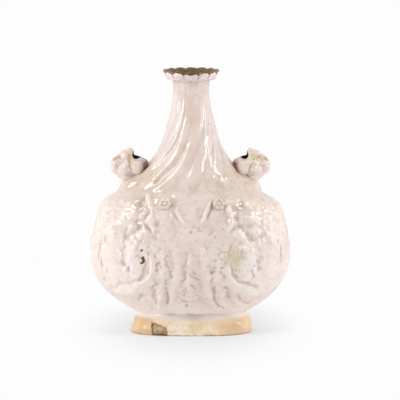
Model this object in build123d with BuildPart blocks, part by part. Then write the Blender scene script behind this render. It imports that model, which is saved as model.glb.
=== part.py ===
"""A moulded and tin-glazed pilgrim flask.

Two press-moulded halves make the flattened belly and its relief. A fluted neck, a scalloped
mouth, an oval foot, two pierced animal heads and the rosettes are luted on.
Millimetres, +Z up, +X to the right of the front, which faces -Y. The origin is the middle of the
flat ring that the flask stands on.
"""

import os
from math import cos, copysign, hypot, pi, radians, sin

from build123d import *

# Body
total_height = 300.0
belly_width = 230.0
belly_depth = 128.0
belly_height = 92.0
shoulder_width = 163.0
shoulder_depth = 104.0
shoulder_height = 162.0
neck_waist_height = 275.0
neck_diameter = 42.0
neck_bore_height = 262.0
wall = 5.5
overrun = 2.0

# Foot
foot_height = 20.5
foot_width = 140.0
foot_depth = 88.0
foot_joint_width = 121.0
foot_joint_depth = 69.0
foot_wall = 9.0
chip_width = 16.0
chip_height = 12.0
chip_depth = 2.0
chip_place = 44.0

# Flutes, which run down the neck and turn into the shoulders
flute_count = 14
flute_depth = 2.0
flute_turn = 60.0
groove_angle = 6.0

# Mouth
mouth_diameter = 31.0
collar_height = 12.0
collar_width = 64.0
collar_ledge = 2.0
collar_lip = 3.0
scallop_count = 14
scallop_depth = 1.4
scallop_dip = 3.2

# Heads and the shoulder mounds that carry them
head_reach = 69.0
head_height = 192.5
head_length = 43.0
head_tallness = 37.0
head_thickness = 31.0
seat_angle = 38.0
seat_drop = 10.5
seat_length = 34.0
seat_width = 22.0
mound_length = 60.0
mound_width = 42.0
mound_depth = 24.0
cord_hole_diameter = 9.0
cord_hole_angle = 45.0
cord_hole_offset = 2.0
ear_length = 12.0
ear_thickness = 6.0
head_clearance = 0.3

# Relief of the belly
high_relief = 3.2
low_relief = 1.8
relief_start = 15.0
scroll_width = 12.0
strap_width = 6.0
leaf_width = 17.0
leaf_length = 62.0
rib_width = 4.5
boss_width = 19.0
boss_length = 24.0

# Rosettes, luted on round seats
rosette_diameter = 13.0
rosette_height = 3.0
rosette_reach = 30.0
rosette_place = 153.0
rosette_petals = 6
petal_share = 0.5
rosette_seat_rise = 1.2
rosette_seat_depth = 4.0

# Heights of the body's sections, as shares between the two named heights of each zone, with the
# share of the way from the lower size to the upper one in width and in depth
foot_to_belly_shares = (
    (0.0, 0.0, 0.0),
    (0.09, 0.2, 0.18),
    (0.2, 0.42, 0.4),
    (0.36, 0.67, 0.64),
    (0.6, 0.885, 0.87),
    (0.8, 0.975, 0.97),
    (1.0, 1.0, 1.0),
)
belly_to_shoulder_shares = (
    (0.27, 0.084, 0.04),
    (0.47, 0.17, 0.17),
    (0.67, 0.275, 0.39),
    (0.786, 0.394, 0.567),
    (0.886, 0.62, 0.75),
    (1.0, 1.0, 1.0),
)
# The same for the shoulders and neck, with the flutes' depth and turn at each height
shoulder_to_neck_shares = (
    (0.106, 0.251, 0.16, 0.5, 0.85),
    (0.208, 0.438, 0.306, 0.9, 0.73),
    (0.31, 0.597, 0.452, 1.0, 0.6),
    (0.404, 0.703, 0.565, 0.9, 0.47),
    (0.504, 0.79, 0.677, 0.7, 0.33),
    (0.628, 0.858, 0.774, 0.55, 0.2),
    (0.752, 0.924, 0.871, 0.45, 0.08),
    (0.876, 0.972, 0.952, 0.4, 0.02),
    (1.0, 1.0, 1.0, 0.4, 0.0),
)
# Depth of one flute from crest to groove and back
flute_shares = (0.0, 0.3, 1.0, 0.3)
# The collar's foot stands out from the neck by this share of the ledge
neck_flare_share = 0.55

# The collar's sections: share of its height, of its flare outside and inside, and of the scallops'
# depth. Outside it stands out from the neck as a ledge and then rises steeply.
collar_shares = (
    (0.0, 0.0, 0.0, 0.4),
    (0.15, 0.48, 0.09, 0.5),
    (0.55, 0.76, 0.5, 0.8),
    (1.0, 1.0, 1.0, 1.0),
)
# Depth of one scallop from pinch to crest and back
scallop_shares = (1.0, 0.35, 0.0, 0.35)
# The foot's sections: share of its height, of its flare, and how square its plan is
foot_shares = (
    (0.0, 1.0, 2.8),
    (0.3, 1.0, 2.8),
    (0.6, 0.85, 2.7),
    (0.82, 0.5, 2.5),
    (1.0, 0.0, 2.2),
)
foot_outline_points = 24
chip_shares = ((0.0, -0.1), (1.0, -0.1), (1.0, 0.5), (0.0, 1.0))
# The head's sections: shares of its length, of its middle's height, tallness and thickness
head_shares = (
    (-0.93, -0.04, 0.1, 0.25),
    (-0.85, -0.05, 0.27, 0.45),
    (-0.65, -0.08, 0.5, 0.75),
    (-0.37, -0.1, 0.76, 0.95),
    (-0.05, -0.03, 1.0, 1.0),
    (0.33, -0.14, 0.84, 0.87),
    (0.65, -0.15, 0.61, 0.68),
    (0.93, -0.14, 0.41, 0.48),
    (1.0, -0.14, 0.22, 0.28),
)
ear_along_share = 0.0
ear_out_share = 0.75
ear_up_share = 0.5
ear_width_share = 0.6
ear_turn = 60.0
ear_taper = 20.0
petal_height_share = 0.6
petal_taper = 15.0

collar_bottom = total_height - collar_height


def between(low, high, share):
    """Return the size that lies a share of the way from low to high."""
    return low + (high - low) * share


def body_rows():
    """List each section: height, half width, half depth, flute depth and turn."""
    rows = []
    for up, wide, deep in foot_to_belly_shares:
        height = between(foot_height, belly_height, up)
        half_width = between(foot_joint_width, belly_width, wide) / 2
        half_depth = between(foot_joint_depth, belly_depth, deep) / 2
        rows.append((height, half_width, half_depth, 0.0, 1.0))
    for up, wide, deep in belly_to_shoulder_shares:
        height = between(belly_height, shoulder_height, up)
        half_width = between(belly_width, shoulder_width, wide) / 2
        half_depth = between(belly_depth, shoulder_depth, deep) / 2
        rows.append((height, half_width, half_depth, 0.0, 1.0))
    for up, wide, deep, flute, turn in shoulder_to_neck_shares:
        height = between(shoulder_height, neck_waist_height, up)
        half_width = between(shoulder_width, neck_diameter, wide) / 2
        half_depth = between(shoulder_depth, neck_diameter, deep) / 2
        rows.append((height, half_width, half_depth, flute * flute_depth, turn))
    flare = neck_diameter / 2 + collar_ledge * neck_flare_share
    rows.append((collar_bottom, flare, flare, rows[-1][3], 0.0))
    return rows


rows = body_rows()


def half_size(height):
    """Return the body's half width and half depth at a height."""
    for low, high in zip(rows, rows[1:]):
        if height <= high[0]:
            share = (height - low[0]) / (high[0] - low[0])
            return between(low[1], high[1], share), between(low[2], high[2], share)
    return rows[-1][1], rows[-1][2]


def fluted_outline(half_width, half_depth, depth, turn):
    """Points of an oval whose flutes have turned by a share of the full turn."""
    points = []
    steps = flute_count * len(flute_shares)
    for step in range(steps):
        sink = depth * flute_shares[step % len(flute_shares)]
        angle = radians(groove_angle - flute_turn * turn) + 2 * pi * step / steps
        points.append(((half_width - sink) * sin(angle), -(half_depth - sink) * cos(angle)))
    return points


def scalloped_outline(radius, depth):
    """Points of a circle pinched into scallops."""
    points = []
    steps = scallop_count * len(scallop_shares)
    for step in range(steps):
        angle = radians(groove_angle) + 2 * pi * step / steps
        pinched = radius - depth * scallop_shares[step % len(scallop_shares)]
        points.append((pinched * sin(angle), -pinched * cos(angle)))
    return points


def squared_outline(half_width, half_depth, squareness):
    """Points of an oval that is drawn out towards its four corners."""
    points = []
    for step in range(foot_outline_points):
        angle = 2 * pi * step / foot_outline_points
        across = copysign(abs(cos(angle)) ** (2 / squareness), cos(angle))
        back = copysign(abs(sin(angle)) ** (2 / squareness), sin(angle))
        points.append((half_width * across, half_depth * back))
    return points


def belly_form():
    """Loft the belly through ovals, from the foot's joint up to the shoulder."""
    with BuildPart() as form:
        for height, half_width, half_depth, depth, turn in rows:
            if height <= shoulder_height:
                with BuildSketch(Plane.XY.offset(height)):
                    Ellipse(half_width, half_depth)
        loft()
    return form.part


def fluted_form():
    """Loft the shoulders and neck through fluted ovals that turn as they rise."""
    with BuildPart() as form:
        for height, half_width, half_depth, depth, turn in rows:
            if height >= shoulder_height:
                with BuildSketch(Plane.XY.offset(height)):
                    with BuildLine():
                        Spline(fluted_outline(half_width, half_depth, depth, turn), periodic=True)
                    make_face()
        loft()
    return form.part


def plain_form(growth, low_height, high_height):
    """Loft the body without flutes, grown or shrunk square to its profile."""
    levels = [row[0] for row in rows if low_height + wall < row[0] < high_height - wall]
    with BuildPart() as form:
        for height in [low_height, *levels, high_height]:
            half_width, half_depth = half_size(height)
            above_width, above_depth = half_size(height + wall / 2)
            below_width, below_depth = half_size(height - wall / 2)
            wide_growth = growth * hypot(wall, above_width - below_width) / wall
            deep_growth = growth * hypot(wall, above_depth - below_depth) / wall
            with BuildSketch(Plane.XY.offset(height)):
                Ellipse(half_width + wide_growth, half_depth + deep_growth)
        loft(ruled=True)
    return form.part


# The enlarged forms that the relief is cut to, and the one that the heads keep clear of
high_form = plain_form(high_relief, foot_height, shoulder_height)
low_form = plain_form(low_relief, foot_height, shoulder_height)
clear_form = plain_form(head_clearance, shoulder_height, neck_waist_height)

# Relief places on the front: shares of the half width from the middle, and shares of the height
# from the foot's joint to the shoulder
scroll_shares = (
    (0.41, 0.8),
    (0.51, 0.71),
    (0.575, 0.6),
    (0.59, 0.48),
    (0.555, 0.39),
    (0.47, 0.355),
    (0.405, 0.395),
    (0.415, 0.45),
)
swag_shares = ((0.36, 0.32), (0.5, 0.275), (0.62, 0.19))
strap_shares = ((0.145, 0.585), (0.13, 0.38), (0.18, 0.115))
rib_shares = ((0.17, 0.9), (0.14, 0.85), (0.1, 0.78))
wing_shares = (
    (0.355, 0.965),
    (0.44, 0.955),
    (0.45, 0.885),
    (0.4, 0.755),
    (0.34, 0.715),
    (0.37, 0.83),
    (0.355, 0.88),
)
boss_place_share = 0.875
side_leaf_place_shares = (0.29, 0.12)
middle_leaf_place_shares = (0.0, 0.105)
middle_leaf_size_share = 0.85
# Half widths of a leaf at the tip and root of each lobe, from its foot up
lobe_tip_shares = (0.75, 1.0, 0.95, 0.75, 0.45)
lobe_root_share = 0.55
# Size and depth of the mound's middle section, between the seat and the mound's foot
mound_middle_share = 0.78
mound_middle_depth_share = 0.4


def place(across_share, up_share, side=1):
    """Return the front view's across and up of a relief place."""
    across = side * across_share * belly_width / 2
    return across, between(foot_height, shoulder_height, up_share)


def leaf_outline(foot_place, size_share):
    """Points of an upright leaf with pointed lobes on both sides."""
    across, foot_up = foot_place
    right_side = []
    lobe_length = leaf_length * size_share / len(lobe_tip_shares)
    for lobe, tip_share in enumerate(lobe_tip_shares):
        tip = leaf_width / 2 * size_share * tip_share
        base = foot_up + lobe * lobe_length
        right_side.append((tip * lobe_root_share, base))
        right_side.append((tip, base + lobe_length / 2))
    top = [(0.0, foot_up + leaf_length * size_share)]
    left_side = [(-x, up) for x, up in reversed(right_side)]
    return [(across + x, up) for x, up in right_side + top + left_side]


# Relief that stands high: scrolls, swags, ribs beside the boss, and the shoulder leaves
relief_plane = Plane.XZ.offset(relief_start)
with BuildPart() as high_shapes:
    with BuildSketch(relief_plane):
        for side in (-1, 1):
            for shares, width in ((scroll_shares, scroll_width), (swag_shares, scroll_width)):
                with BuildLine() as stroke:
                    Spline([place(*share, side) for share in shares])
                trace(stroke.line, line_width=width)
            with BuildLine() as stroke:
                Spline([place(*share, side) for share in rib_shares])
            trace(stroke.line, line_width=rib_width)
            with BuildLine():
                Polyline([place(*share, side) for share in wing_shares], close=True)
            make_face()
    extrude(amount=belly_depth / 2)
    add(high_form, mode=Mode.INTERSECT)

# Relief that stands low: three leaves, the straps between them and the oval boss
with BuildPart() as low_shapes:
    with BuildSketch(relief_plane):
        for side in (-1, 1):
            with BuildLine() as stroke:
                Spline([place(*share, side) for share in strap_shares])
            trace(stroke.line, line_width=strap_width)
            with BuildLine():
                Polyline(leaf_outline(place(*side_leaf_place_shares, side), 1.0), close=True)
            make_face()
        with BuildLine():
            middle_foot = place(*middle_leaf_place_shares)
            Polyline(leaf_outline(middle_foot, middle_leaf_size_share), close=True)
        make_face()
        with Locations(place(0.0, boss_place_share)):
            Ellipse(boss_width / 2, boss_length / 2)
    extrude(amount=belly_depth / 2)
    add(low_form, mode=Mode.INTERSECT)

# The planes that the luted pieces sit on
seat_tilt = radians(seat_angle)
seat_normal = (sin(seat_tilt), 0, cos(seat_tilt))
seat_place = (
    head_reach - seat_drop * sin(seat_tilt),
    0,
    head_height - seat_drop * cos(seat_tilt),
)
seat_down = (cos(seat_tilt), 0, -sin(seat_tilt))
seat_plane = Plane(origin=seat_place, x_dir=seat_down, z_dir=seat_normal)


def rosette_plane(side):
    """Return the plane square to the front of the shoulder at a rosette, lifted by its seat."""
    half_width, half_depth = half_size(rosette_place)
    above_width, above_depth = half_size(rosette_place + rosette_diameter / 2)
    below_width, below_depth = half_size(rosette_place - rosette_diameter / 2)
    across = side * rosette_reach
    forward = half_depth * (1 - (across / half_width) ** 2) ** 0.5
    narrowing = (below_width - above_width) / rosette_diameter
    thinning = (below_depth - above_depth) / rosette_diameter
    width_part = (across / half_width) ** 2 * narrowing / half_width
    depth_part = (forward / half_depth) ** 2 * thinning / half_depth
    normal = Vector(across / half_width**2, -forward / half_depth**2, width_part + depth_part)
    spot = Plane(origin=(across, -forward, rosette_place), z_dir=normal)
    return spot.offset(rosette_seat_rise)


# The mounds on the shoulders, which end flat at the heads' seats
with BuildPart() as mounds:
    with BuildSketch(seat_plane):
        Ellipse(seat_length / 2, seat_width / 2)
    with BuildSketch(seat_plane.offset(-mound_depth * mound_middle_depth_share)):
        Ellipse(mound_length * mound_middle_share / 2, mound_width * mound_middle_share / 2)
    with BuildSketch(seat_plane.offset(-mound_depth)):
        Ellipse(mound_length / 2, mound_width / 2)
    loft()
    mirror(about=Plane.YZ)

# The round seats of the rosettes
with BuildPart() as rosette_seats:
    for side in (-1, 1):
        with BuildSketch(rosette_plane(side)):
            Circle(rosette_diameter / 2)
        extrude(amount=-rosette_seat_depth)

# Front half of the belly, pressed in its mould with the relief
with BuildPart() as front_shell:
    add(belly_form())
    split(bisect_by=Plane.XZ, keep=Keep.TOP)
    add(high_shapes.part)
    add(low_shapes.part)
    add(rosette_seats.part)
    split(bisect_by=Plane.XY.offset(shoulder_height), keep=Keep.BOTTOM)
    add(plain_form(-wall, foot_height + wall, shoulder_height), mode=Mode.SUBTRACT)
front_shell.part.label = "front_shell"

# Rear half, pressed in the same mould and turned to the back
with BuildPart() as rear_shell:
    add(front_shell.part.rotate(Axis.Z, 180))
rear_shell.part.label = "rear_shell"

# Shoulders and neck: one fluted funnel with the mounds for the heads, and a straight bore
with BuildPart() as neck:
    add(fluted_form())
    add(mounds.part)
    split(bisect_by=Plane.XY.offset(shoulder_height), keep=Keep.TOP)
    add(plain_form(-wall, shoulder_height, neck_bore_height), mode=Mode.SUBTRACT)
    with BuildSketch(Plane.XY.offset(neck_bore_height)):
        Circle(mouth_diameter / 2)
    extrude(amount=total_height - neck_bore_height, mode=Mode.SUBTRACT)
neck.part.label = "neck"

# The tops of the petals: one round arch each, meeting in a cusp that lies lower by the dip
petal_pitch = pi * collar_width / scallop_count
arch_radius = ((petal_pitch / 2) ** 2 + scallop_dip**2) / scallop_dip / 2
petal_middle = groove_angle - 90 + 180 / scallop_count
with BuildPart() as petal_tops:
    with BuildSketch(Plane.XY.offset(collar_bottom)):
        Circle(collar_width)
    extrude(amount=collar_height - scallop_dip)
    with Locations(Location((0, 0, total_height - arch_radius))):
        with PolarLocations(collar_width / 2, scallop_count, start_angle=petal_middle):
            Cylinder(arch_radius, collar_width / 2, rotation=(0, 90, 0))

# Mouth: a flaring collar pinched into scallops, its lip cut to the petals
with BuildPart() as mouth_rim:
    for up, wide, inner_wide, pinch in collar_shares:
        with BuildSketch(Plane.XY.offset(between(collar_bottom, total_height, up))):
            radius = between(neck_diameter / 2 + collar_ledge, collar_width / 2, wide)
            with BuildLine():
                Spline(scalloped_outline(radius, scallop_depth * pinch), periodic=True)
            make_face()
    loft()
    for up, wide, inner_wide, pinch in collar_shares:
        with BuildSketch(Plane.XY.offset(between(collar_bottom, total_height, up))):
            Circle(between(mouth_diameter / 2, collar_width / 2 - collar_lip, inner_wide))
    loft(mode=Mode.SUBTRACT)
    add(petal_tops.part, mode=Mode.INTERSECT)
mouth_rim.part.label = "mouth_rim"

# Foot: an oval ring with a rounded flare, open below, with an old chip in its front
with BuildPart() as foot:
    for up, flare, squareness in foot_shares:
        with BuildSketch(Plane.XY.offset(foot_height * up)):
            half_width = between(foot_joint_width, foot_width, flare) / 2
            half_depth = between(foot_joint_depth, foot_depth, flare) / 2
            with BuildLine():
                Spline(squared_outline(half_width, half_depth, squareness), periodic=True)
            make_face()
    loft()
    for height, width, depth in (
        (0, foot_width, foot_depth),
        (foot_height, foot_joint_width, foot_joint_depth),
    ):
        with BuildSketch(Plane.XY.offset(height)):
            Ellipse(width / 2 - foot_wall, depth / 2 - foot_wall)
    loft(mode=Mode.SUBTRACT)
    with BuildSketch(Plane.XZ.offset(foot_depth / 2 - chip_depth)):
        with BuildLine():
            corners = [(x * chip_width - chip_place, y * chip_height) for x, y in chip_shares]
            Polyline(corners, close=True)
        make_face()
    extrude(amount=chip_depth + overrun, mode=Mode.SUBTRACT)
foot.part.label = "foot"


def head_plane(along_share, centre_share=0.0):
    """Return the upright plane square to the head's length, facing outwards."""
    along = head_reach + head_length / 2 * along_share
    up = head_height + head_tallness / 2 * centre_share
    return Plane(origin=(along, 0, up), x_dir=(0, 1, 0), z_dir=(1, 0, 0))


# Right head: an animal's head looking outwards, pierced for a cord from the nape to the throat
hole_tilt = radians(cord_hole_angle)
hole_place = (
    head_reach + cord_hole_offset * cos(hole_tilt),
    0,
    head_height + cord_hole_offset * sin(hole_tilt),
)
hole_plane = Plane(origin=hole_place, x_dir=(0, 1, 0), z_dir=(cos(hole_tilt), 0, -sin(hole_tilt)))
with BuildPart() as right_head:
    for along, centre, tall, thick in head_shares:
        with BuildSketch(head_plane(along, centre)):
            Ellipse(head_thickness / 2 * thick, head_tallness / 2 * tall)
    loft()
    for side in (-1, 1):
        ear_place = (
            head_reach + head_length / 2 * ear_along_share,
            side * head_thickness / 2 * ear_out_share,
            head_height + head_tallness / 2 * ear_up_share,
        )
        with BuildSketch(Plane(origin=ear_place, x_dir=(1, 0, 0), z_dir=(0, side, 0))):
            Ellipse(ear_length / 2, ear_length * ear_width_share / 2, rotation=ear_turn * side)
        extrude(amount=ear_thickness, taper=ear_taper)
    split(bisect_by=seat_plane, keep=Keep.TOP)
    add(clear_form, mode=Mode.SUBTRACT)
    with BuildSketch(hole_plane):
        Circle(cord_hole_diameter / 2)
    extrude(amount=head_length, both=True, mode=Mode.SUBTRACT)
right_head.part.label = "right_head"

# Left head, from the same mould
with BuildPart() as left_head:
    add(right_head.part.rotate(Axis.Z, 180))
left_head.part.label = "left_head"


def rosette(plane):
    """Make one rosette with round petals and a button on its seat."""
    petal = rosette_diameter / 2 * petal_share
    with BuildPart() as flower:
        with BuildSketch(plane):
            Circle(petal)
            with PolarLocations(rosette_diameter / 2 - petal, rosette_petals):
                Circle(petal)
        extrude(amount=rosette_height * petal_height_share, taper=petal_taper)
        with BuildSketch(plane):
            Circle(petal)
        extrude(amount=rosette_height, taper=petal_taper)
    return flower.part


solids = [front_shell, rear_shell, neck, mouth_rim, foot, right_head, left_head]
os.makedirs("parts", exist_ok=True)
for solid in solids:
    export_step(solid.part, f"parts/{solid.part.label}.step")
for name, side in (("left", -1), ("right", 1)):
    front_rosette = rosette(rosette_plane(side))
    front_rosette.label = f"front_{name}_rosette"
    export_step(front_rosette, f"parts/{front_rosette.label}.step")
    rear_rosette = front_rosette.rotate(Axis.Z, 180)
    rear_rosette.label = f"rear_{name}_rosette"
    export_step(rear_rosette, f"parts/{rear_rosette.label}.step")
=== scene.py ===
"""Looks of the pilgrim flask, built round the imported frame: glazed body with relief, foot, heads."""

import bpy
import numpy as np
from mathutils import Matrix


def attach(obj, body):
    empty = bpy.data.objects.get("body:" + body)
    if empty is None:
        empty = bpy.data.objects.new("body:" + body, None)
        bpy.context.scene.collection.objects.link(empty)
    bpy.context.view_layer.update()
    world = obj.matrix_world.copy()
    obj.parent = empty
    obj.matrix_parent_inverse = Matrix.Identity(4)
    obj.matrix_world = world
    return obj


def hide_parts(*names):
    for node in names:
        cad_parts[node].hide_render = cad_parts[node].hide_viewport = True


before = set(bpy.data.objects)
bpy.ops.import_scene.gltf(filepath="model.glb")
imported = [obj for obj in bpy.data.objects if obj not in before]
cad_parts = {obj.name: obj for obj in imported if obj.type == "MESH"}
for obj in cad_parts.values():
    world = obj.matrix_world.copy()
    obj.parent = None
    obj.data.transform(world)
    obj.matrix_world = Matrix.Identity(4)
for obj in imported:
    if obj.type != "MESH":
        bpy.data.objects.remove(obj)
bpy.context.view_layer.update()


# --- Camera ---
# The photo is taken from the front with a long lens, a little above the middle of the flask.
camera_distance = 3.0
camera_elevation = 8.2
camera_target = (0.011, 0.0, 0.1501)
seen_width = 0.4575

elevation = np.radians(camera_elevation)
camera_data = bpy.data.cameras.new("camera")
camera_data.sensor_width = 36.0
camera_data.lens = camera_data.sensor_width * camera_distance / seen_width
camera_data.clip_end = 20.0
camera = bpy.data.objects.new("camera", camera_data)
camera.location = (
    camera_target[0],
    camera_target[1] - camera_distance * np.cos(elevation),
    camera_target[2] + camera_distance * np.sin(elevation),
)
camera.rotation_euler = (np.pi / 2 - elevation, 0.0, 0.0)
bpy.context.scene.collection.objects.link(camera)
bpy.context.scene.camera = camera
bpy.context.scene.view_settings.view_transform = "Standard"


# --- Belly and neck: front shell, rear shell, fluted neck ---
# Two press-moulded halves and a fluted funnel, luted together under one coat of thick, glossy,
# pinkish tin glaze. The three meshes share one surface, so that no seam shows in the glaze.
# Section table, bottom to top: height, half width, half depth, flute depth, flute turn in degrees.
body_sections = np.array(
    [
        (20.5, 62.0, 35.0, 0.0, 60.0),
        (26.9, 72.6, 40.2, 0.0, 60.0),
        (34.8, 84.3, 46.6, 0.0, 60.0),
        (46.2, 97.5, 53.6, 0.0, 60.0),
        (63.4, 108.9, 60.2, 0.0, 60.0),
        (77.7, 113.7, 63.1, 0.0, 60.0),
        (92.0, 115.0, 64.0, 0.0, 60.0),
        (110.9, 112.2, 63.5, 0.0, 60.0),
        (124.9, 109.3, 62.0, 0.0, 60.0),
        (138.9, 105.8, 59.3, 0.0, 60.0),
        (147.0, 101.8, 57.2, 0.0, 60.0),
        (154.0, 94.2, 55.0, 0.0, 60.0),
        (162.0, 81.5, 52.0, 0.0, 60.0),
        (174.0, 66.3, 47.0, 1.0, 51.0),
        (185.5, 55.0, 42.5, 1.9, 43.8),
        (197.0, 45.4, 38.0, 2.2, 36.0),
        (207.7, 39.0, 34.5, 2.1, 28.2),
        (219.0, 33.7, 31.0, 1.8, 19.8),
        (233.0, 29.6, 28.0, 1.1, 12.0),
        (247.0, 25.6, 25.0, 0.8, 4.8),
        (261.0, 22.7, 22.5, 0.65, 1.2),
        (275.0, 21.0, 21.0, 0.6, 0.0),
        (288.0, 22.1, 22.1, 0.6, 0.0),
    ]
)
seam_height = 162.0
glaze_slack = 0.4
wall_thickness = 5.5
# The wall is measured level here, so it comes out thicker where the outside slopes
side_wall = 1.15 * wall_thickness
front_wall = 1.1 * wall_thickness
neck_bore_radius = 15.5
neck_bore_foot = 254.0
millimetre = 0.001
# Flutes: where the first starts, in degrees, how far they wander, in radians, and how sharp they are
flute_count = 14
flute_start = 12.9
slow_wander = 0.06
quick_wander = 0.05
wander_length = 31.0
groove_sharpness = 1.5
lobe_flatness = 0.02
lobe_heights = (190.0, 225.0)
# They stop short of the mounds, and nearly die out on the right of the shoulder
mound_clearance = 1.6
faded_share = 0.85
faded_across = (18.0, 34.0)
faded_heights = (205.0, 188.0)
# Mounds that carry the heads, the hollow that runs below the neck, and a dent in the right shoulder
mound_rise = 7.5
mound_place = 71.0
mound_reach = (14.0, 17.0)
mound_heights = (158.0, 168.0)
hollow_depth = 2.3
hollow_height = 168.0
hollow_reach = 9.0
hollow_fade = (14.0, 26.0)
dent_depth = 2.0
dent_place = (88.0, 158.0)
dent_reach = (20.0, 13.0)
# The neck and the foot were set on by hand, a little to the right of the belly
neck_offset = 0.9
neck_offset_heights = (165.0, 250.0)
foot_offset = 1.2
foot_offset_heights = (60.0, 20.0)
# Grid of the shared surface: columns, crowded towards the front and back, and rows
body_columns = 880
column_crowding = 0.1425
shell_rows = 205
neck_rows = 102
# How much the width's and the depth's changes count in the spacing of the rows
row_weights = (0.6, 0.4)


def spline(knots, values, places):
    """Natural cubic spline: through the values, its bend continuous and nil at both ends."""
    step = np.diff(knots)
    slope = np.diff(values) / step
    system = np.eye(len(knots))
    right = np.zeros(len(knots))
    for i in range(1, len(knots) - 1):
        system[i, i - 1 : i + 2] = (step[i - 1], 2 * (step[i - 1] + step[i]), step[i])
        right[i] = 6 * (slope[i] - slope[i - 1])
    bend = np.linalg.solve(system, right)
    i = np.clip(np.searchsorted(knots, places) - 1, 0, len(step) - 1)
    a = places - knots[i]
    b = knots[i + 1] - places
    cubic = (bend[i] * b**3 + bend[i + 1] * a**3) / (6 * step[i])
    line_a = (values[i + 1] / step[i] - bend[i + 1] * step[i] / 6) * a
    line_b = (values[i] / step[i] - bend[i] * step[i] / 6) * b
    return cubic + line_a + line_b


def section_at(column, height):
    """Half width, half depth, flute depth or flute turn of the body at a height, by the spline."""
    return spline(body_sections[:, 0], body_sections[:, column], height)


def ripple(points, length, seed, waves=14):
    """Sum of plane waves of about one length, with seeded ways and phases, between about -1 and 1."""
    rng = np.random.default_rng(seed)
    total = np.zeros(points.shape[:-1])
    for _ in range(waves):
        way = rng.normal(size=3)
        way *= 2 * np.pi / (length * rng.uniform(0.75, 1.5)) / np.linalg.norm(way)
        total += np.sin(points @ way + rng.uniform(0, 2 * np.pi))
    return total / np.sqrt(waves)


def ripples(points, layers):
    """Sum of ripples, each given by its rise, length and seed."""
    return sum(rise * ripple(points, length, seed) for rise, length, seed in layers)


def bell(*offsets):
    """Bell curve: exp(-sum of squares) of offsets, which are given as shares of their reach."""
    return np.exp(-sum(offset**2 for offset in offsets))


def smooth_step(low, high, value):
    """Rise from 0 at low to 1 at high along 3t^2 - 2t^3."""
    t = np.clip((value - low) / (high - low), 0.0, 1.0)
    return t * t * (3 - 2 * t)


def grid_normals(points, wrap_rows, wrap_columns):
    """Cross product of the central differences along columns and rows, scaled to unit length."""
    if wrap_rows:
        along = np.roll(points, -1, 0) - np.roll(points, 1, 0)
    else:
        along = np.gradient(points, axis=0)
    if wrap_columns:
        across = np.roll(points, -1, 1) - np.roll(points, 1, 1)
    else:
        across = np.gradient(points, axis=1)
    normals = np.cross(across, along)
    return normals / np.maximum(np.linalg.norm(normals, axis=-1, keepdims=True), 1e-12)


def stroke_share(x, z, places, wider=1.0):
    """(1 - d^2)^2 round a line of (x, z, half width) places, with d the distance over half width."""
    nearest = np.full(x.shape, 9.0)
    places = np.array(places, float)
    places[:, 2] *= wider
    if len(places) == 1:
        places = np.vstack([places, places])
    for (x0, z0, w0), (x1, z1, w1) in zip(places[:-1], places[1:]):
        reach = max(w0, w1)
        near = (x > min(x0, x1) - reach) & (x < max(x0, x1) + reach)
        near &= (z > min(z0, z1) - reach) & (z < max(z0, z1) + reach)
        if not near.any():
            continue
        px, pz = x[near] - x0, z[near] - z0
        run = max((x1 - x0) ** 2 + (z1 - z0) ** 2, 1e-9)
        t = np.clip((px * (x1 - x0) + pz * (z1 - z0)) / run, 0.0, 1.0)
        away = np.hypot(px - t * (x1 - x0), pz - t * (z1 - z0)) / (w0 + (w1 - w0) * t)
        nearest[near] = np.minimum(nearest[near], away)
    return np.clip(1 - nearest**2, 0.0, 1.0) ** 2


def smoothed(places, parts=5):
    """Run a Catmull-Rom curve through the places, with a few points between each pair."""
    places = np.array(places, float)
    if len(places) < 3:
        return places
    padded = np.vstack([2 * places[0] - places[1], places, 2 * places[-1] - places[-2]])
    out = []
    for a, b, c, d in zip(padded[:-3], padded[1:-2], padded[2:-1], padded[3:]):
        for t in np.arange(parts) / parts:
            square, cube = 2 * a - 5 * b + 4 * c - d, 3 * b - a - 3 * c + d
            out.append(0.5 * (2 * b + (c - a) * t + square * t**2 + cube * t**3))
    out.append(places[-1])
    return np.array(out)


# Relief of the front, as strokes of (across, up, half width) in millimetres. Raised strokes first.
scroll_bands = (
    (
        (-49.9, 119.8, 4.6), (-57.9, 114.9, 6.3), (-64.2, 105.5, 7.5), (-66.5, 94, 8),
        (-64.8, 82.6, 7.5), (-60.9, 74.7, 5.7),
    ),
    (
        (51.6, 119.7, 4.6), (59.6, 112.6, 6.3), (65.8, 103.2, 7.5), (68.1, 92.8, 8), (66.5, 81.3, 7.5),
        (62.5, 72.2, 5.7),
    ),
)
swag_bands = (
    (
        (-43.2, 88.3, 3.7), (-42.6, 76.8, 5), (-48.4, 64.6, 6.9), (-59.3, 56.5, 8), (-72.1, 51.5, 8),
        (-82.6, 48.7, 4.6),
    ),
    ((41.5, 79.1, 4.1), (43.8, 68.4, 5.7), (51.8, 58.9, 7.5), (62.1, 52.5, 8), (71.4, 47.7, 6.3)),
)
flank_swells = (
    ((-85, 128, 9), (-90, 110, 12), (-92, 92, 13), (-88, 74, 10)),
    ((86, 128, 9), (92, 110, 12), (93, 92, 13), (89, 74, 10)),
)
wings = (
    ((-47.2, 161.2, 3.9), (-45.4, 153, 3.9), (-42.8, 146.6, 2.2)),
    (
        (-42.5, 147.1, 1.4), (-43.6, 140, 3.4), (-44, 133.4, 4.4), (-41.8, 126.8, 2.8),
        (-40.2, 121.3, 1.1),
    ),
    ((40.3, 154.2, 3.7), (46, 154.3, 3.8), (51.7, 155.4, 3.2), (54.9, 157.4, 1.1)),
    (
        (42.6, 149.8, 3.7), (44.2, 143.3, 3.7), (45.5, 135.5, 3.4), (45.1, 128.9, 3.2),
        (41.7, 122.9, 1.4),
    ),
)
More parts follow.
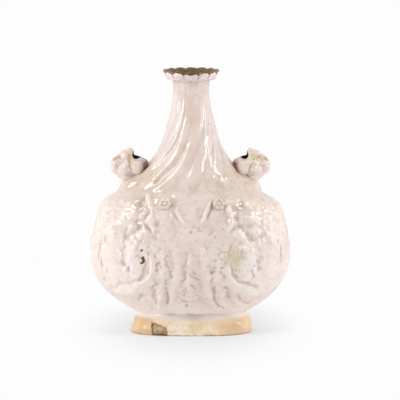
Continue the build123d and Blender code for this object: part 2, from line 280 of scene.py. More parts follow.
brackets = (
    ((-15.6, 149.4, 1.1), (-14.3, 144, 2.2), (-11.9, 138.5, 2.2), (-8.4, 131.9, 0.9)),
    ((22.7, 154.7, 1.1), (20, 147.7, 2.3), (16.6, 140.7, 2.2), (12.5, 131.9, 0.9)),
)
boss = ((2.0, 144.5, 11.5), (2.0, 141.5, 11.0))
straps = (
    (
        (-16.5, 106.1, 2.8), (-14.9, 95.9, 4.1), (-14, 82.1, 4.4), (-15.5, 68, 3.9), (-18.4, 53.4, 3.7),
        (-21.7, 39.4, 3),
    ),
    ((14.4, 103.9, 2.8), (15.8, 89, 4.1), (17.3, 72.7, 4.4), (19.3, 55.9, 4.4), (22.8, 39.4, 3.4)),
)
leaves = (
    (
        (-30.7, 102.4, 4.1), (-31.5, 88.7, 7.5), (-31.4, 74.8, 9), (-32.9, 60.4, 9.6),
        (-34.8, 45.4, 9.9), (-38.6, 31.8, 7.5),
    ),
    ((35.8, 96.6, 5), (32, 84.1, 7.2), (31.3, 70.1, 8.5), (33.2, 55.5, 9.6), (36.6, 40.1, 9.2)),
    ((0.3, 98.3, 3.9), (-0.3, 86.8, 6.2), (-0.3, 72.9, 8), (-0.9, 58.5, 9), (-1, 41, 8.7)),
)
leaf_ribs = (
    ((-30, 100.2, 1.4), (-31, 77.2, 2.3), (-32.2, 55.5, 2.6), (-35.9, 34.8, 2.3)),
    ((30.8, 88.7, 1.4), (29.7, 70.1, 2.3), (33, 53, 2.6), (36.9, 36.1, 2.3)),
    ((0, 96, 1.1), (-1.4, 79.9, 1.7), (-1.1, 60.9, 2.5), (-0.9, 38.4, 2.3)),
)
volute_rims = (
    (
        (-52.8, 97.5, 1.1), (-47, 94.8, 1.3), (-43.4, 88.3, 1.4), (-43.4, 79.1, 1.6), (-47.1, 68.3, 2),
        (-55.3, 63, 2.1),
    ),
    ((-49.7, 92.9, 0.9), (-47.5, 88.2, 1), (-47.6, 81.8, 1), (-50, 74.7, 1)),
    ((43.1, 87.2, 1.4), (43.5, 76.7, 1.6), (47, 67.1, 2), (55.2, 59.6, 2.1)),
    ((51.1, 81, 0.9), (53.6, 78, 0.9), (51.5, 75.2, 0.9), (48.7, 77.9, 0.9), (51.1, 81, 0.9)),
    ((43.7, 98, 1.1), (48.9, 105, 1.3), (56.4, 102.6, 1.3), (60.7, 95.5, 1.4)),
)
flank_ridges = (
    ((104.4, 99, 0.9), (104.6, 82.7, 0.9)), ((-99.1, 113.3, 1.3), (-99.2, 105.5, 1.3)),
)
curl_knobs = (
    (-72.9, 77.3, 3.7), (72.2, 77.4, 3.3),
)
beads = (
    (-38.3, 145.3, 2.1), (-48.2, 133.2, 2.1), (-35.2, 117.8, 2), (-56, 116.1, 2.4), (-63.8, 115.7, 2.4),
    (-51, 121.4, 2), (-66.7, 124.5, 2.3), (-68.6, 108.3, 1.8), (-76.5, 109.6, 1.7), (-76.4, 104.4, 1.7),
    (-79.9, 98.7, 1.6), (-78.5, 93.1, 1.6), (-87.7, 125.4, 2.5), (-86.2, 117.2, 2.5),
    (-65.8, 74.6, 1.7), (-80.5, 144.6, 2.3), (-68.3, 152.2, 2.3), (-63.6, 140.1, 4.1),
    (-55.6, 137.8, 2.3), (-75.6, 134.9, 3), (-95.4, 136.3, 3), (-92, 143.5, 2.3), (-60.2, 109.7, 1.4),
    (-62.4, 102.2, 1.4), (-52.6, 110.7, 1.3), (49.6, 118, 2.3), (53, 121.1, 1.5), (58, 112.7, 2.1),
    (62.3, 109.9, 2.5), (67.8, 107.6, 2.6), (60, 102.6, 1.7), (70.2, 99.8, 2), (41.8, 145.5, 2),
    (48.5, 141.7, 1.6), (68.7, 135.4, 3.9), (70.4, 120.9, 3.7), (76.2, 145.4, 2.5), (85.4, 143.2, 2.8),
    (89.4, 134.6, 2.5), (82.1, 130.6, 2.5), (77, 129.2, 2.1), (77.2, 120.1, 2.5), (90.2, 122.7, 2.5),
    (86.4, 116.3, 2.2), (83.1, 109.5, 2.3), (76.7, 108.4, 2.3), (92.2, 106.8, 1.8), (99.3, 132.4, 2.3),
    (54.2, 94.2, 1.7), (4.2, 124.2, 1.4), (-21, 141.1, 1.7), (4.2, 46.1, 1.8), (-44.6, 44.2, 2.3),
    (50.9, 36.3, 2.8),
)

# Sunk strokes: grooves, pockets and drilled notches
valleys = (
    ((-55.6, 147.1, 3), (-58.5, 133.8, 4.4), (-57.4, 126.1, 3.7), (-61.9, 120.9, 2.8)),
    ((-70.4, 122, 3), (-71.8, 111.8, 3.4), (-73.2, 100.4, 3.2), (-74.5, 91.2, 2.8), (-74.8, 83, 1.8)),
    (
        (51.6, 138.6, 2.1), (55, 130.7, 4.8), (59, 123.2, 4.4), (64.1, 116.8, 3.4), (67.8, 111.5, 2.5),
        (72.1, 104.4, 2.8), (75.1, 95.7, 2.5), (76.7, 86.4, 2.6), (77.2, 78.1, 2.3),
    ),
)
creases = (
    ((-43.4, 145.9, 0.9), (-47.1, 141, 1.2), (-51.2, 135.3, 0.9)),
    ((-54.1, 112.9, 0.9), (-56.4, 108.2, 1.5), (-59, 103.8, 0.9)),
    ((-100.9, 111.3, 1.1), (-101.6, 105.1, 0.9), (-102.6, 98.2, 1.1), (-104.2, 89.9, 1)),
    ((-95.7, 112.2, 1.1), (-95.9, 106.5, 0.9)),
    ((102.5, 102.7, 0.9), (102.6, 92.5, 1), (102.5, 81.9, 0.9)),
    ((99.2, 107.7, 1.4), (99.6, 102.6, 1.1)), ((-101, 86.4, 1.1), (-100.4, 78.2, 1.4)),
    ((-93.7, 79.2, 1), (-94.2, 71.9, 1.4)), ((-105, 88.5, 0.9), (-105.3, 81.3, 0.9)),
    ((-97.9, 66.2, 0.9), (-97.6, 61.1, 1)),
)
soft_creases = (
    ((-40.2, 139.6, 1), (-36.9, 131.4, 1.7), (-35.6, 123.7, 2.2), (-33.8, 119.3, 1.1)),
    ((-15.8, 144, 0.9), (-15.1, 137.9, 1.1)),
    ((-24.6, 142.7, 1.3), (-22.1, 136.2, 1.7), (-18, 130.3, 1.3)),
    ((-21.2, 126, 1.3), (-19.4, 121.8, 2.2), (-16.5, 117.6, 1)),
    ((33.1, 141.9, 1.4), (34.2, 141.5, 1.1)),
    (
        (-55.8, 66.3, 1.4), (-62.7, 64.9, 1.5), (-69, 62, 1.6), (-77.1, 60.9, 1.4), (-81.1, 61.3, 1.5),
        (-83.4, 54.5, 1.6),
    ),
    ((73.9, 56, 1.4), (76.6, 51, 1.7), (78.8, 43.1, 1.4)),
)
curl_grooves = (
    ((-75.8, 88.8, 1.5), (-74.3, 83.1, 2.1)), ((-69.2, 82.1, 1.1), (-68.6, 76.5, 2)),
    ((68.5, 76.5, 1.3), (70.5, 72.4, 1.8), (72.5, 69, 1)),
    ((69.4, 80.8, 1.1), (72.7, 82.1, 1.5)),
)
volute_grooves = (
    ((-51.3, 92.2, 1), (-49.6, 86.9, 1.4), (-50.3, 79.9, 2.4), (-52.4, 72.8, 3), (-55.8, 67.3, 1.7)),
    (
        (-46.3, 92.3, 0.9), (-45.4, 85.4, 1.3), (-45.9, 77.8, 1.5), (-49.4, 69.6, 1.7),
        (-55.8, 65.9, 1.5),
    ),
    (
        (46.7, 86.5, 1), (46.6, 78.9, 1.3), (47.1, 73, 1.6), (50.1, 67.6, 1.8), (56.3, 64, 1.8),
        (63.5, 61.2, 2.6), (70.1, 58.4, 1.7), (76.2, 56.2, 1.5),
    ),
    ((51.1, 78.5, 3.4), (51.2, 77.5, 3.4)), ((50.1, 70.7, 1.6), (52.4, 69.9, 1.5)),
)
swag_grooves = (
    ((-33.1, 68.3, 1.1), (-36.5, 63.5, 1.6), (-42.4, 59.5, 2.2)),
    ((-38.1, 55.8, 1.8), (-40.7, 48.4, 2.6)), ((-37.8, 45.2, 1.4), (-38.8, 40, 1.4)),
    ((-55.8, 46.7, 2.6), (-58.1, 40.6, 1.8)), ((-46, 30.3, 1.4), (-36.9, 29.1, 1.4)),
    ((32.5, 63.3, 1.4), (35.9, 59.1, 1.3), (42, 56.6, 1.8)),
    ((40.9, 52.7, 2.3), (43, 45.7, 2.6)), ((54.6, 46.2, 2.2), (55.6, 40.8, 1.5)),
    ((60, 37.7, 2), (65.9, 35.2, 1.4)),
)
upper_pockets = (
    ((-52, 159.4, 1.4), (-53.9, 153.6, 2.4), (-56.3, 148.7, 1.4)),
    ((-49, 130.3, 1.4), (-46.7, 127.1, 2.9), (-44.9, 123.8, 1.7)),
    ((-21.4, 160.7, 1.7), (-17.6, 155.9, 2.9), (-19, 149.8, 2.6)),
    ((24.4, 155.2, 1.1), (24.3, 149.8, 2.1), (22.3, 145.2, 1.4), (18.4, 139, 1.1)),
    ((56.9, 154.5, 1.6), (57.3, 149.7, 3.3), (53.9, 145.5, 4.1), (51.4, 141.4, 2)),
    ((49.1, 138, 1.3), (52.5, 133.9, 2), (56.2, 130.6, 1.4)),
)
notches = (
    ((-34.3, 88.4, 1), (-37.7, 83, 1.6)), ((-37.1, 80.2, 1.5), (-39.8, 78.3, 1)),
    ((-32.5, 89.2, 0.9), (-33.2, 84.1, 1), (-31.2, 79, 0.9)),
    ((-28.5, 92.7, 1.1), (-26.4, 87.7, 1.6)), ((-26.9, 85.4, 1.1), (-24.4, 81.7, 1.6)),
    ((-24.4, 79.1, 1.1), (-22.2, 76.7, 1.4)), ((-22.2, 73.5, 1.3), (-19.8, 70, 1.5)),
    ((-28, 68.4, 1), (-26.2, 63, 1.4)), ((-29.7, 60.5, 1.3), (-27.2, 57.2, 1.8)),
    ((-26.6, 53.8, 1.1), (-25, 45.7, 2), (-26.7, 38.6, 1.5)),
    ((-39.3, 106.8, 1.5), (-37.2, 105.6, 1)), ((-33.2, 103.4, 1), (-28.7, 102.6, 1)),
    ((-17.7, 106.7, 1), (-14.9, 105.7, 0.9)), ((-47, 106, 1.3), (-46.8, 104.8, 1.1)),
    ((-47.8, 99.8, 1.1), (-46.7, 94.7, 1.4)), ((-39.8, 95.6, 1.4), (-38.8, 94.2, 1.1)),
    ((-27, 95.5, 1.1), (-24.8, 94.6, 1)), ((-4.3, 91.2, 1.1), (-4.8, 86.5, 1.1)),
    ((-6.4, 85, 0.9), (-6.6, 83.4, 0.9)), ((-2.2, 84.5, 1), (-2, 82.7, 1)),
    ((-4.8, 78.1, 1), (-5.2, 72.6, 1.6)), ((-5.1, 70, 1.4), (-10.2, 66.4, 1)),
    ((-1.3, 77.6, 1), (1, 71.9, 1.5)), ((2.5, 78.4, 1), (5.1, 74.3, 1.5)),
    ((2.4, 71, 1), (6, 70.6, 1.4), (9.6, 67.7, 0.9)),
    ((-3.2, 60.7, 1.1), (-5.1, 58, 1.5)), ((1.4, 61.7, 1.3), (6, 57.3, 1.4)),
    ((-7.3, 50.5, 1.5), (-6.7, 48.6, 1.4)), ((-8.7, 41.7, 1.6), (1.2, 40.5, 1.6)),
    ((-4.8, 37.4, 1.4), (-4.6, 35.2, 1.5)), ((-0.3, 122.5, 1.4), (2.4, 122.7, 1.1)),
    ((8.7, 126.8, 1.1), (9.2, 125.5, 1)), ((9.1, 123, 1), (13.6, 123, 1)),
    ((17.4, 104.7, 1.4), (18.3, 103.6, 1.1)), ((15.5, 96.6, 1), (15.7, 95, 0.9)),
    ((27.7, 89.5, 1.3), (30.4, 91, 1.4)), ((26.1, 80.9, 1.5), (28.6, 82.9, 1.4)),
    ((24.3, 76, 1.4), (26.8, 77.3, 1.3)), ((22.5, 66.9, 1.5), (24.3, 69.5, 1.1)),
    ((27.4, 57.9, 1.5), (28.8, 60.4, 1.1)),
    ((27.3, 54.4, 1), (26.3, 48.2, 1.5), (26.9, 42.9, 1.6), (30.3, 36.7, 1.7), (36.5, 32.2, 1.4)),
    ((33.3, 81.2, 1), (37.2, 81.7, 1)), ((33.1, 77.8, 1), (35.8, 75.1, 1.5)),
    ((37.8, 72.9, 1.4), (39.5, 70.3, 1.1)),
    ((39, 98.7, 0.9), (34.9, 98.9, 1.4), (32, 95.6, 1.5), (33.8, 91.6, 1.6), (36.5, 90.4, 0.9)),
    ((44.4, 102.2, 1), (46.3, 105.1, 1.4)), ((52, 104.6, 1.6), (53.4, 103, 1.1)),
    ((58, 100.7, 1.6), (58, 97.6, 1.4)), ((43.5, 99.4, 1.4), (43.9, 98.3, 1.1)),
    ((24.1, 122.2, 1.1), (20.9, 119.3, 0.9)), ((28.1, 117.2, 1.1), (28.9, 115.6, 1)),
    ((36, 125.6, 1.4), (37.1, 124.5, 1.1)), ((-58.1, 96.1, 0.8), (-60.6, 92.6, 0.9)),
)
worn_patch = (50.6, 93.0, 17.0)
dark_spot = (-54.6, 100.6, 2.5)
chipped_spot = ((-53.6, 92.4, 2.5), (-52.8, 89.4, 2.9), (-53.8, 86.6, 2.2))
# Darker tan in the pockets below the shoulders: across, up, reach
tan_pockets = ((58.0, 150.0, 7.0), (-20.0, 151.0, 5.0), (-57.0, 153.0, 8.0), (24.0, 148.0, 4.0))
# A fold that stands up on the neck, right of the middle, beside the brightest flute
fold_rise = 1.0
neck_fold = ((22.0, 214.0, 3.4), (20.6, 192.0, 4.6), (17.6, 181.0, 4.8), (12.0, 170.0, 4.0))

# Each group's rise or depth, how much wider than the tables its strokes run, and for the sunk ones
# how much glaze pools in them
raised_strokes = (
    (scroll_bands, 1.3, 1.5),
    (swag_bands, 1.4, 1.45),
    (flank_swells, 1.0, 1.0),
    (wings, 2.1, 1.2),
    (brackets, 2.0, 1.15),
    ((boss,), 1.2, 1.0),
    (straps, 1.3, 1.6),
    (leaves, 0.9, 1.15),
)
raised_details = (
    (leaf_ribs, 0.6, 1.7),
    (volute_rims, 0.85, 1.4),
    (flank_ridges, 0.8, 1.3),
    ([(knob,) for knob in curl_knobs], 1.6, 1.15),
    ([(bead,) for bead in beads], 1.25, 1.65),
)
sunk_strokes = (
    (valleys, 0.5, 2.2, 0.14),
    (creases, 0.8, 1.5, 0.22),
    (soft_creases, 0.3, 2.3, 0.12),
    (volute_grooves, 0.65, 1.8, 0.22),
    (curl_grooves, 1.0, 1.5, 0.4),
    (swag_grooves, 0.6, 1.9, 0.28),
    (upper_pockets, 0.8, 1.9, 0.22),
    (notches, 0.75, 1.45, 0.5),
)
tooled_leaf_share = 1.2
# The worked field that the lumps of the relief cover: its middle and half sizes, across and up
worked_middle = (0.0, 92.0)
worked_half = (88.0, 74.0)
worked_edge = (1.0, 0.8)
# Where the flanks sparkle with larger lumps: heights, and distance from the middle
sparkle_foot = (96.0, 112.0)
sparkle_top = (162.0, 154.0)
sparkle_side = (44.0, 56.0)
sparkle_right = (-20.0, 20.0)
# The relief dies out towards the side seams, at these distances from the middle plane
relief_fade = (8.0, 22.0)
# The glaze softens the relief over this many steps of the grid
glaze_softening = 0.8
# Unevenness of the hand-worked surface, as ripples: rise, length, seed
across_warp = ((0.4, 9.0, 6), (0.16, 4.0, 7))
up_warp = ((0.4, 9.0, 8), (0.16, 4.0, 9))
groove_wear = ((0.22, 7.0, 16),)
tool_marks = ((0.26, 4.2, 17), (0.12, 2.4, 18))
relief_lumps = ((0.24, 8.5, 19), (0.1, 4.6, 20))
skin_swell = ((0.18, 23.0, 1), (0.06, 9.0, 2))
upper_swell = ((0.22, 9.5, 3), (0.07, 4.6, 4))
upper_heights = (205.0, 165.0)
shoulder_streaks = ((0.3, 7.0, 10),)
shoulder_foot = (128.0, 138.0)
shoulder_top = (166.0, 156.0)
shoulder_stretch = (0.4, 0.6, 1.6)
foot_joint_fade = (20.5, 30.0)
# Lumps of the sparkling flanks: rise, extra rise on the right, length, seed
sparkle_lumps = ((0.2, 0.15, 6.8, 23), (0.6, 0.25, 12.0, 24))


def relief_height(x, z):
    """Highest raised stroke and detail at a front place, deepest cut, pooled glaze, tool marks."""
    body, detail, cut, filled, tooled = (np.zeros(x.shape) for _ in range(5))
    for table, total in ((raised_strokes, body), (raised_details, detail)):
        for strokes, rise, wider in table:
            for stroke in strokes:
                np.maximum(total, rise * stroke_share(x, z, smoothed(stroke), wider), out=total)
    for strokes, depth, wider, glaze_share in sunk_strokes:
        for stroke in strokes:
            share = stroke_share(x, z, smoothed(stroke), wider)
            np.maximum(cut, depth * share, out=cut)
            np.maximum(filled, glaze_share * share, out=filled)
    for leaf in leaves:
        np.maximum(tooled, stroke_share(x, z, smoothed(leaf), tooled_leaf_share), out=tooled)
    return body + detail, cut, filled, np.sqrt(tooled)


def set_over(points):
    """Shift the neck and the foot to the right of the belly, growing smoothly with the distance."""
    shift = neck_offset * smooth_step(*neck_offset_heights, points[..., 2])
    shift += foot_offset * smooth_step(*foot_offset_heights, points[..., 2])
    return points + shift[..., None] * np.array([1.0, 0.0, 0.0])


def body_levels():
    """Heights of the rows, evenly spaced along the profile, with one row on the shoulder's seam."""
    fine = np.linspace(body_sections[0, 0], body_sections[-1, 0], 4000)
    wide, deep = section_at(1, fine), section_at(2, fine)
    slopes = row_weights[0] * np.diff(wide) ** 2 + row_weights[1] * np.diff(deep) ** 2
    run = np.sqrt(np.diff(fine) ** 2 + slopes)
    along = np.concatenate([[0.0], np.cumsum(run)])
    seam = np.interp(seam_height, fine, along)
    low = np.interp(np.linspace(0, seam, shell_rows), along, fine)
    high = np.interp(np.linspace(seam, along[-1], neck_rows), along, fine)
    return np.concatenate([low, high[1:]])


def carved_relief(plain, x):
    """Relief along the normal, softened by the glaze: strokes, tool marks on the leaves, and lumps."""
    height = plain[..., 2]
    warped_x, warped_z = x + ripples(plain, across_warp), height + ripples(plain, up_warp)
    raised, cut, filled, tooled = relief_height(warped_x, warped_z)
    cut *= 1.0 + ripples(plain, groove_wear)
    field_x = (x - worked_middle[0]) / worked_half[0]
    field_z = (height - worked_middle[1]) / worked_half[1]
    worked = smooth_step(*worked_edge, np.hypot(field_x, field_z))
    sparkling = smooth_step(*sparkle_foot, height) * smooth_step(*sparkle_top, height)
    sparkling *= smooth_step(*sparkle_side, np.abs(x))
    right_share = smooth_step(*sparkle_right, x)
    lumps = ripples(plain, relief_lumps)
    for rise, right_rise, length, seed in sparkle_lumps:
        lumps += sparkling * (rise + right_rise * right_share) * ripple(plain, length, seed)
    relief = raised - cut + tooled * (ripples(plain, tool_marks) - 0.1) + worked * lumps
    softened = blurred(relief, glaze_softening, glaze_softening)
    return softened * smooth_step(*relief_fade, np.abs(plain[..., 1])), filled


def body_surface(levels, angles):
    """Oval of the body at each height, moved along its normal by flutes, mounds, relief and ripples."""
    height = np.repeat(levels[:, None], len(angles), 1)
    turn = np.repeat(angles[None, :], len(levels), 0)
    wide, deep, flute, twist = (section_at(column, height) for column in (1, 2, 3, 4))
    wide, deep = wide - glaze_slack, deep - glaze_slack
    plain = np.stack([wide * np.sin(turn), -deep * np.cos(turn), height], -1)
    normals = grid_normals(plain, False, True)
    x = plain[..., 0] * np.where(turn_is_front(turn), 1.0, -1.0)
    depth = np.abs(plain[..., 1])
    relief, filled = carved_relief(plain, x)
    wander = slow_wander * np.sin(3 * turn + 1.0)
    wander += quick_wander * np.sin(5 * turn + height / wander_length)
    wave = turn - np.radians(flute_start - twist) + wander / 2
    groove = (0.5 + 0.5 * np.cos(flute_count * wave)) ** groove_sharpness
    mound = bell((np.abs(x) - mound_place) / mound_reach[0], depth / mound_reach[1])
    mound *= smooth_step(*mound_heights, height)
    faded = faded_share * smooth_step(*faded_across, x) * smooth_step(*faded_heights, height)
    sink = np.clip(flute, 0, None) * groove * (1 - np.clip(mound_clearance * mound, 0, 1)) * (1 - faded)
    sink -= fold_rise * stroke_share(x, height, smoothed(neck_fold))
    lobe = (1 - groove ** (1 / groove_sharpness)) ** 2
    sink += lobe_flatness * wide * lobe * smooth_step(*lobe_heights, height)
    hollow = bell((height - hollow_height) / hollow_reach)
    sink += hollow_depth * hollow * smooth_step(*hollow_fade, depth)
    dent_x, dent_z = plain[..., 0] - dent_place[0], height - dent_place[1]
    sink += dent_depth * bell(dent_x / dent_reach[0], dent_z / dent_reach[1])
    swell = ripples(plain, skin_swell)
    swell += smooth_step(*upper_heights, height) * ripples(plain, upper_swell)
    shoulder = smooth_step(*shoulder_foot, height) * smooth_step(*shoulder_top, height)
    swell += shoulder * ripples(plain * np.array(shoulder_stretch), shoulder_streaks)
    rise = relief - sink + mound_rise * mound + swell * smooth_step(*foot_joint_fade, height)
    return plain + normals * rise[..., None], relief - 0.4 * sink, filled


def turn_is_front(turn):
    """Tell which angles lie on the front half."""
    return np.cos(turn) >= 0


def blurred(values, rows, columns):
    """Gaussian blur of a grid that wraps along its columns, by Fourier transform."""
    high = np.concatenate([values, values[::-1]], 0)
    f = np.fft.rfft2(high)
    fr = np.fft.fftfreq(high.shape[0])[:, None]
    fc = np.fft.rfftfreq(high.shape[1])[None, :]
    f *= np.exp(-2 * np.pi**2 * ((fr * rows) ** 2 + (fc * columns) ** 2))
    return np.fft.irfft2(f, high.shape)[: len(values)]


def glazed_mesh(name, points, faces, normals, attributes):
    """Make a smooth mesh from a grid of places in millimetres, with its own normals and shares."""
    mesh = bpy.data.meshes.new(name)
    mesh.from_pydata((points.reshape(-1, 3) * millimetre).tolist(), [], faces)
    mesh.polygons.foreach_set("use_smooth", np.ones(len(mesh.polygons), bool))
    for key, values in attributes.items():
        layer = mesh.attributes.new(key, "FLOAT", "POINT")
        layer.data.foreach_set("value", np.ascontiguousarray(values, np.float32).ravel())
    mesh.update()
    mesh.normals_split_custom_set_from_vertices(normals.reshape(-1, 3).tolist())
    made = bpy.data.objects.new(name, mesh)
    bpy.context.scene.collection.objects.link(made)
    return made


def closed_grid(name, points, normals, caps, attributes):
    """Mesh of a grid that wraps along its rows and, unless it has end caps, along its columns too."""
    index = np.arange(points[..., 0].size).reshape(points.shape[:2])
    below = np.roll(index, -1, 0)
    beside, below_beside = np.roll(index, -1, 1), np.roll(below, -1, 1)
    quads = np.stack([index, beside, below_beside, below], -1)
    if caps:
        quads = quads[:, :-1]
    faces = quads.reshape(-1, 4).tolist()
    if caps:
        faces += [index[:, 0].tolist(), index[::-1, -1].tolist()]
    return glazed_mesh(name, points, faces, normals, attributes)


# Hollows and crests, near and wide: steps of the grid they span, pool in them, painted highlight on top
near_cavity = (5.0, 0.5, 0.7)
wide_cavity = (12.0, 0.35, 0.5)
# Glaze pooled in the hollows of the relief is drawn darker, which is partly painted shade
deepest_cavity_pool = 0.9
groove_pool = 0.8
# Painted shade in the creases under the heads, drawn as deep pooled glaze: place across, reach across
# and deep, heights where they begin, and pool
painted_crevice_shades = ((60.0, 7.0, 13.0, (168.0, 176.0), 1.2), (54.0, 5.0, 14.0, (179.0, 186.0), 1.32))
foot_joint_shade_heights = (20.5, 25.5)
foot_joint_shade = 0.15
# The glaze runs thin on the shoulders and a little in the middle of them, drawn darker tan, which is
# partly painted shade on their upward faces
thin_shoulder = 0.95
thin_height = 178.0
thin_reach = 20.0
thin_across = (12.0, 42.0)
thin_middle = 0.22
thin_middle_reach = 42.0
thin_middle_heights = (150.0, 175.0)
pocket_tan_share = 0.9
# It lies thick on the low flanks and above the foot, drawn lighter, which is partly painted light from
# the sides
thick_place = (72.0, 78.0)
thick_reach = (26.0, 36.0)
thick_foot_heights = (44.0, 26.0)
# Greyer sides of the neck: heights, and how far round from the front
upper_glaze_heights = (185.0, 215.0)
upper_glaze_sides = (0.3, 0.85)
# Brown where the heads touch, and a duller patch on the right of the shoulder
touching_place = (53.5, 188.0)
touching_reach = 9.0
touching_brown = 0.5
matt_place = (54.0, 171.0)
matt_reach = (20.0, 12.0)
# Uneven edges of the bare spots
edge_wear = 0.8
edge_wear_length = 5.0


def glaze_shares(skin, height, carved, filled):
    """How far the glaze pools, thins, browns, wears off or dulls at each vertex, mostly from 0 to 1;
    the pooling is partly painted shade, the crests carry a painted highlight, the thin shoulders
    painted shade and the thick flanks painted light.
    """
    x, across = skin[..., 0], np.abs(skin[..., 0])
    on_front = np.repeat(turn_is_front(body_angles)[None, :], len(height), 0)
    pool, crest_highlight = 0, 0
    # Hollows pool darker glaze, partly painted shade; crests get a painted highlight
    for steps, pooled, crest_lightening in (near_cavity, wide_cavity):
        cavity = blurred(carved, steps, steps) - carved
        pool, crest_highlight = pool + pooled * cavity, crest_highlight - crest_lightening * cavity
    pool = np.clip(pool, 0, deepest_cavity_pool) + groove_pool * filled
    # Painted shade in the creases under the heads
    for place, wide, deep, heights, most in painted_crevice_shades:
        crevice_shade_share = bell((across - place) / wide, skin[..., 1] / deep)
        pool += most * crevice_shade_share * smooth_step(*heights, height)
    # Painted shade where the belly meets the foot
    pool += foot_joint_shade * (1 - smooth_step(*foot_joint_shade_heights, height))
    # Darker tan on the shoulders: thin glaze, partly painted shade
    thin_and_shaded = thin_shoulder * bell((height - thin_height) / thin_reach) * smooth_step(*thin_across, across)
    middle = bell(across / thin_middle_reach) * smooth_step(*thin_middle_heights, height)
    thin_and_shaded = np.maximum(thin_and_shaded, thin_middle * middle)
    for stain_x, stain_z, reach in tan_pockets:
        thin_and_shaded += pocket_tan_share * on_front * bell((x - stain_x) / reach, (height - stain_z) / reach)
    # Lighter on the low flanks and above the foot: thick glaze, partly painted light
    thick_and_lit = bell((across - thick_place[0]) / thick_reach[0], (height - thick_place[1]) / thick_reach[1])
    beside_head = np.hypot(across - touching_place[0], 0.35 * skin[..., 1])
    touching = np.hypot(beside_head, skin[..., 2] - touching_place[1]) / touching_reach
    round_side = smooth_step(*upper_glaze_sides, np.abs(np.sin(body_angles)))
    worn = np.hypot(x - worn_patch[0], skin[..., 2] - worn_patch[1]) / worn_patch[2]
    ragged_x = x + edge_wear * ripple(skin, edge_wear_length, 41)
    ragged_z = skin[..., 2] + edge_wear * ripple(skin, edge_wear_length, 42)
    spot = stroke_share(ragged_x, ragged_z, (dark_spot,))
    loss = stroke_share(ragged_x, ragged_z, chipped_spot)
    return {
        "pool": pool,
        "crest_highlight": np.clip(crest_highlight, 0, 1),
        "worn": np.clip(1 - worn, 0, 1) * on_front,
        "bare": np.maximum(spot, loss) * on_front,
        "brown": touching_brown * np.clip(1 - touching, 0, 1),
        "thin_and_shaded": np.clip(thin_and_shaded + 0.1 * ripple(skin, 24.0, 43), 0, 1),
        "thick_and_lit": np.maximum(thick_and_lit, smooth_step(*thick_foot_heights, height)),
        "upper": smooth_step(*upper_glaze_heights, height) * round_side,
        "matt": bell((x - matt_place[0]) / matt_reach[0], (height - matt_place[1]) / matt_reach[1]),
    }


column_steps = 2 * np.pi * np.arange(body_columns) / body_columns - np.pi / 2
body_angles = column_steps - column_crowding * np.sin(2 * column_steps)
levels = body_levels()
skin, carved, filled_share = body_surface(levels, body_angles)
skin_normals = grid_normals(skin, False, True)
skin_shares = glaze_shares(skin, np.repeat(levels[:, None], body_columns, 1), carved, filled_share)


def inner_wall(rows_at, angles):
    """Plain oval set in from the body by the wall, or the round bore, at heights from the top down."""
    height = np.repeat(np.array(rows_at, float)[:, None], len(angles), 1)
    bore = height > neck_bore_foot
    wide = np.where(bore, neck_bore_radius, section_at(1, height) - side_wall)
    deep = np.where(bore, neck_bore_radius, section_at(2, height) - front_wall)
    turn = np.repeat(angles[None, :], len(rows_at), 0)
    return np.stack([wide * np.sin(turn), -deep * np.cos(turn), height], -1)


def body_piece(name, row_range, column_range, inner_heights, caps):
    """Cut one piece out of the shared skin and close it with its inner wall."""
    rows = slice(*row_range)
    picked = np.arange(*column_range) % body_columns
    outer = skin[rows][:, picked]
    inner = inner_wall(inner_heights, body_angles[picked])
    if caps:
        inner[:, [0, -1], 1] = 0.0
        outer[:, [0, -1], 1] = 0.0
    points = set_over(np.concatenate([outer, inner]))
    normals = grid_normals(points, True, not caps)
    normals[: len(outer)] = skin_normals[rows][:, picked]
    plain = np.zeros(inner.shape[:2])
    shares = {
        key: np.concatenate([values[rows][:, picked], plain]) for key, values in skin_shares.items()
    }
    return closed_grid(name, points, normals, caps, shares)


half = body_columns // 2
seam_row = shell_rows - 1
shell_inner = (162.0, 154.0, 142.0, 120.0, 92.0, 60.0, 40.0, 30.0, 24.0)
neck_inner = (288.0, 276.0, 262.0, 253.0, 240.0, 226.0, 212.0, 200.0, 188.0, 176.0, 168.0, 162.0)
front_shell = body_piece("front_shell_glazed", (0, shell_rows), (0, half + 1), shell_inner, True)
rear_shell = body_piece("rear_shell_glazed", (0, shell_rows), (half, 2 * half + 1), shell_inner, True)
neck = body_piece("neck_glazed", (seam_row, len(levels)), (0, body_columns), neck_inner, False)


def linear(code):
    """Turn a hex sRGB colour into linear values with alpha 1."""
    parts = [int(code[i : i + 2], 16) / 255 for i in (1, 3, 5)]
    return [p / 12.92 if p <= 0.04045 else ((p + 0.055) / 1.055) ** 2.4 for p in parts] + [1.0]


def add_node(tree, kind, inputs, output=0, **settings):
    """Add one node, set or link its inputs, where a hex code is a colour, and give one output."""
    made = tree.nodes.new("ShaderNode" + kind)
    for key, value in settings.items():
        setattr(made, key, value)
    for key, value in inputs.items():
        if isinstance(value, bpy.types.NodeSocket):
            tree.links.new(value, made.inputs[key])
        else:
            made.inputs[key].default_value = linear(value) if isinstance(value, str) else value
    return made.outputs[output] if made.outputs else made


def rising(share, low, high, least=0.0, most=1.0):
    """Inputs that map a share from low and high to least and most."""
    return {"Value": share, "From Min": low, "From Max": high, "To Min": least, "To Max": most}


softly = {"interpolation_type": "SMOOTHSTEP"}


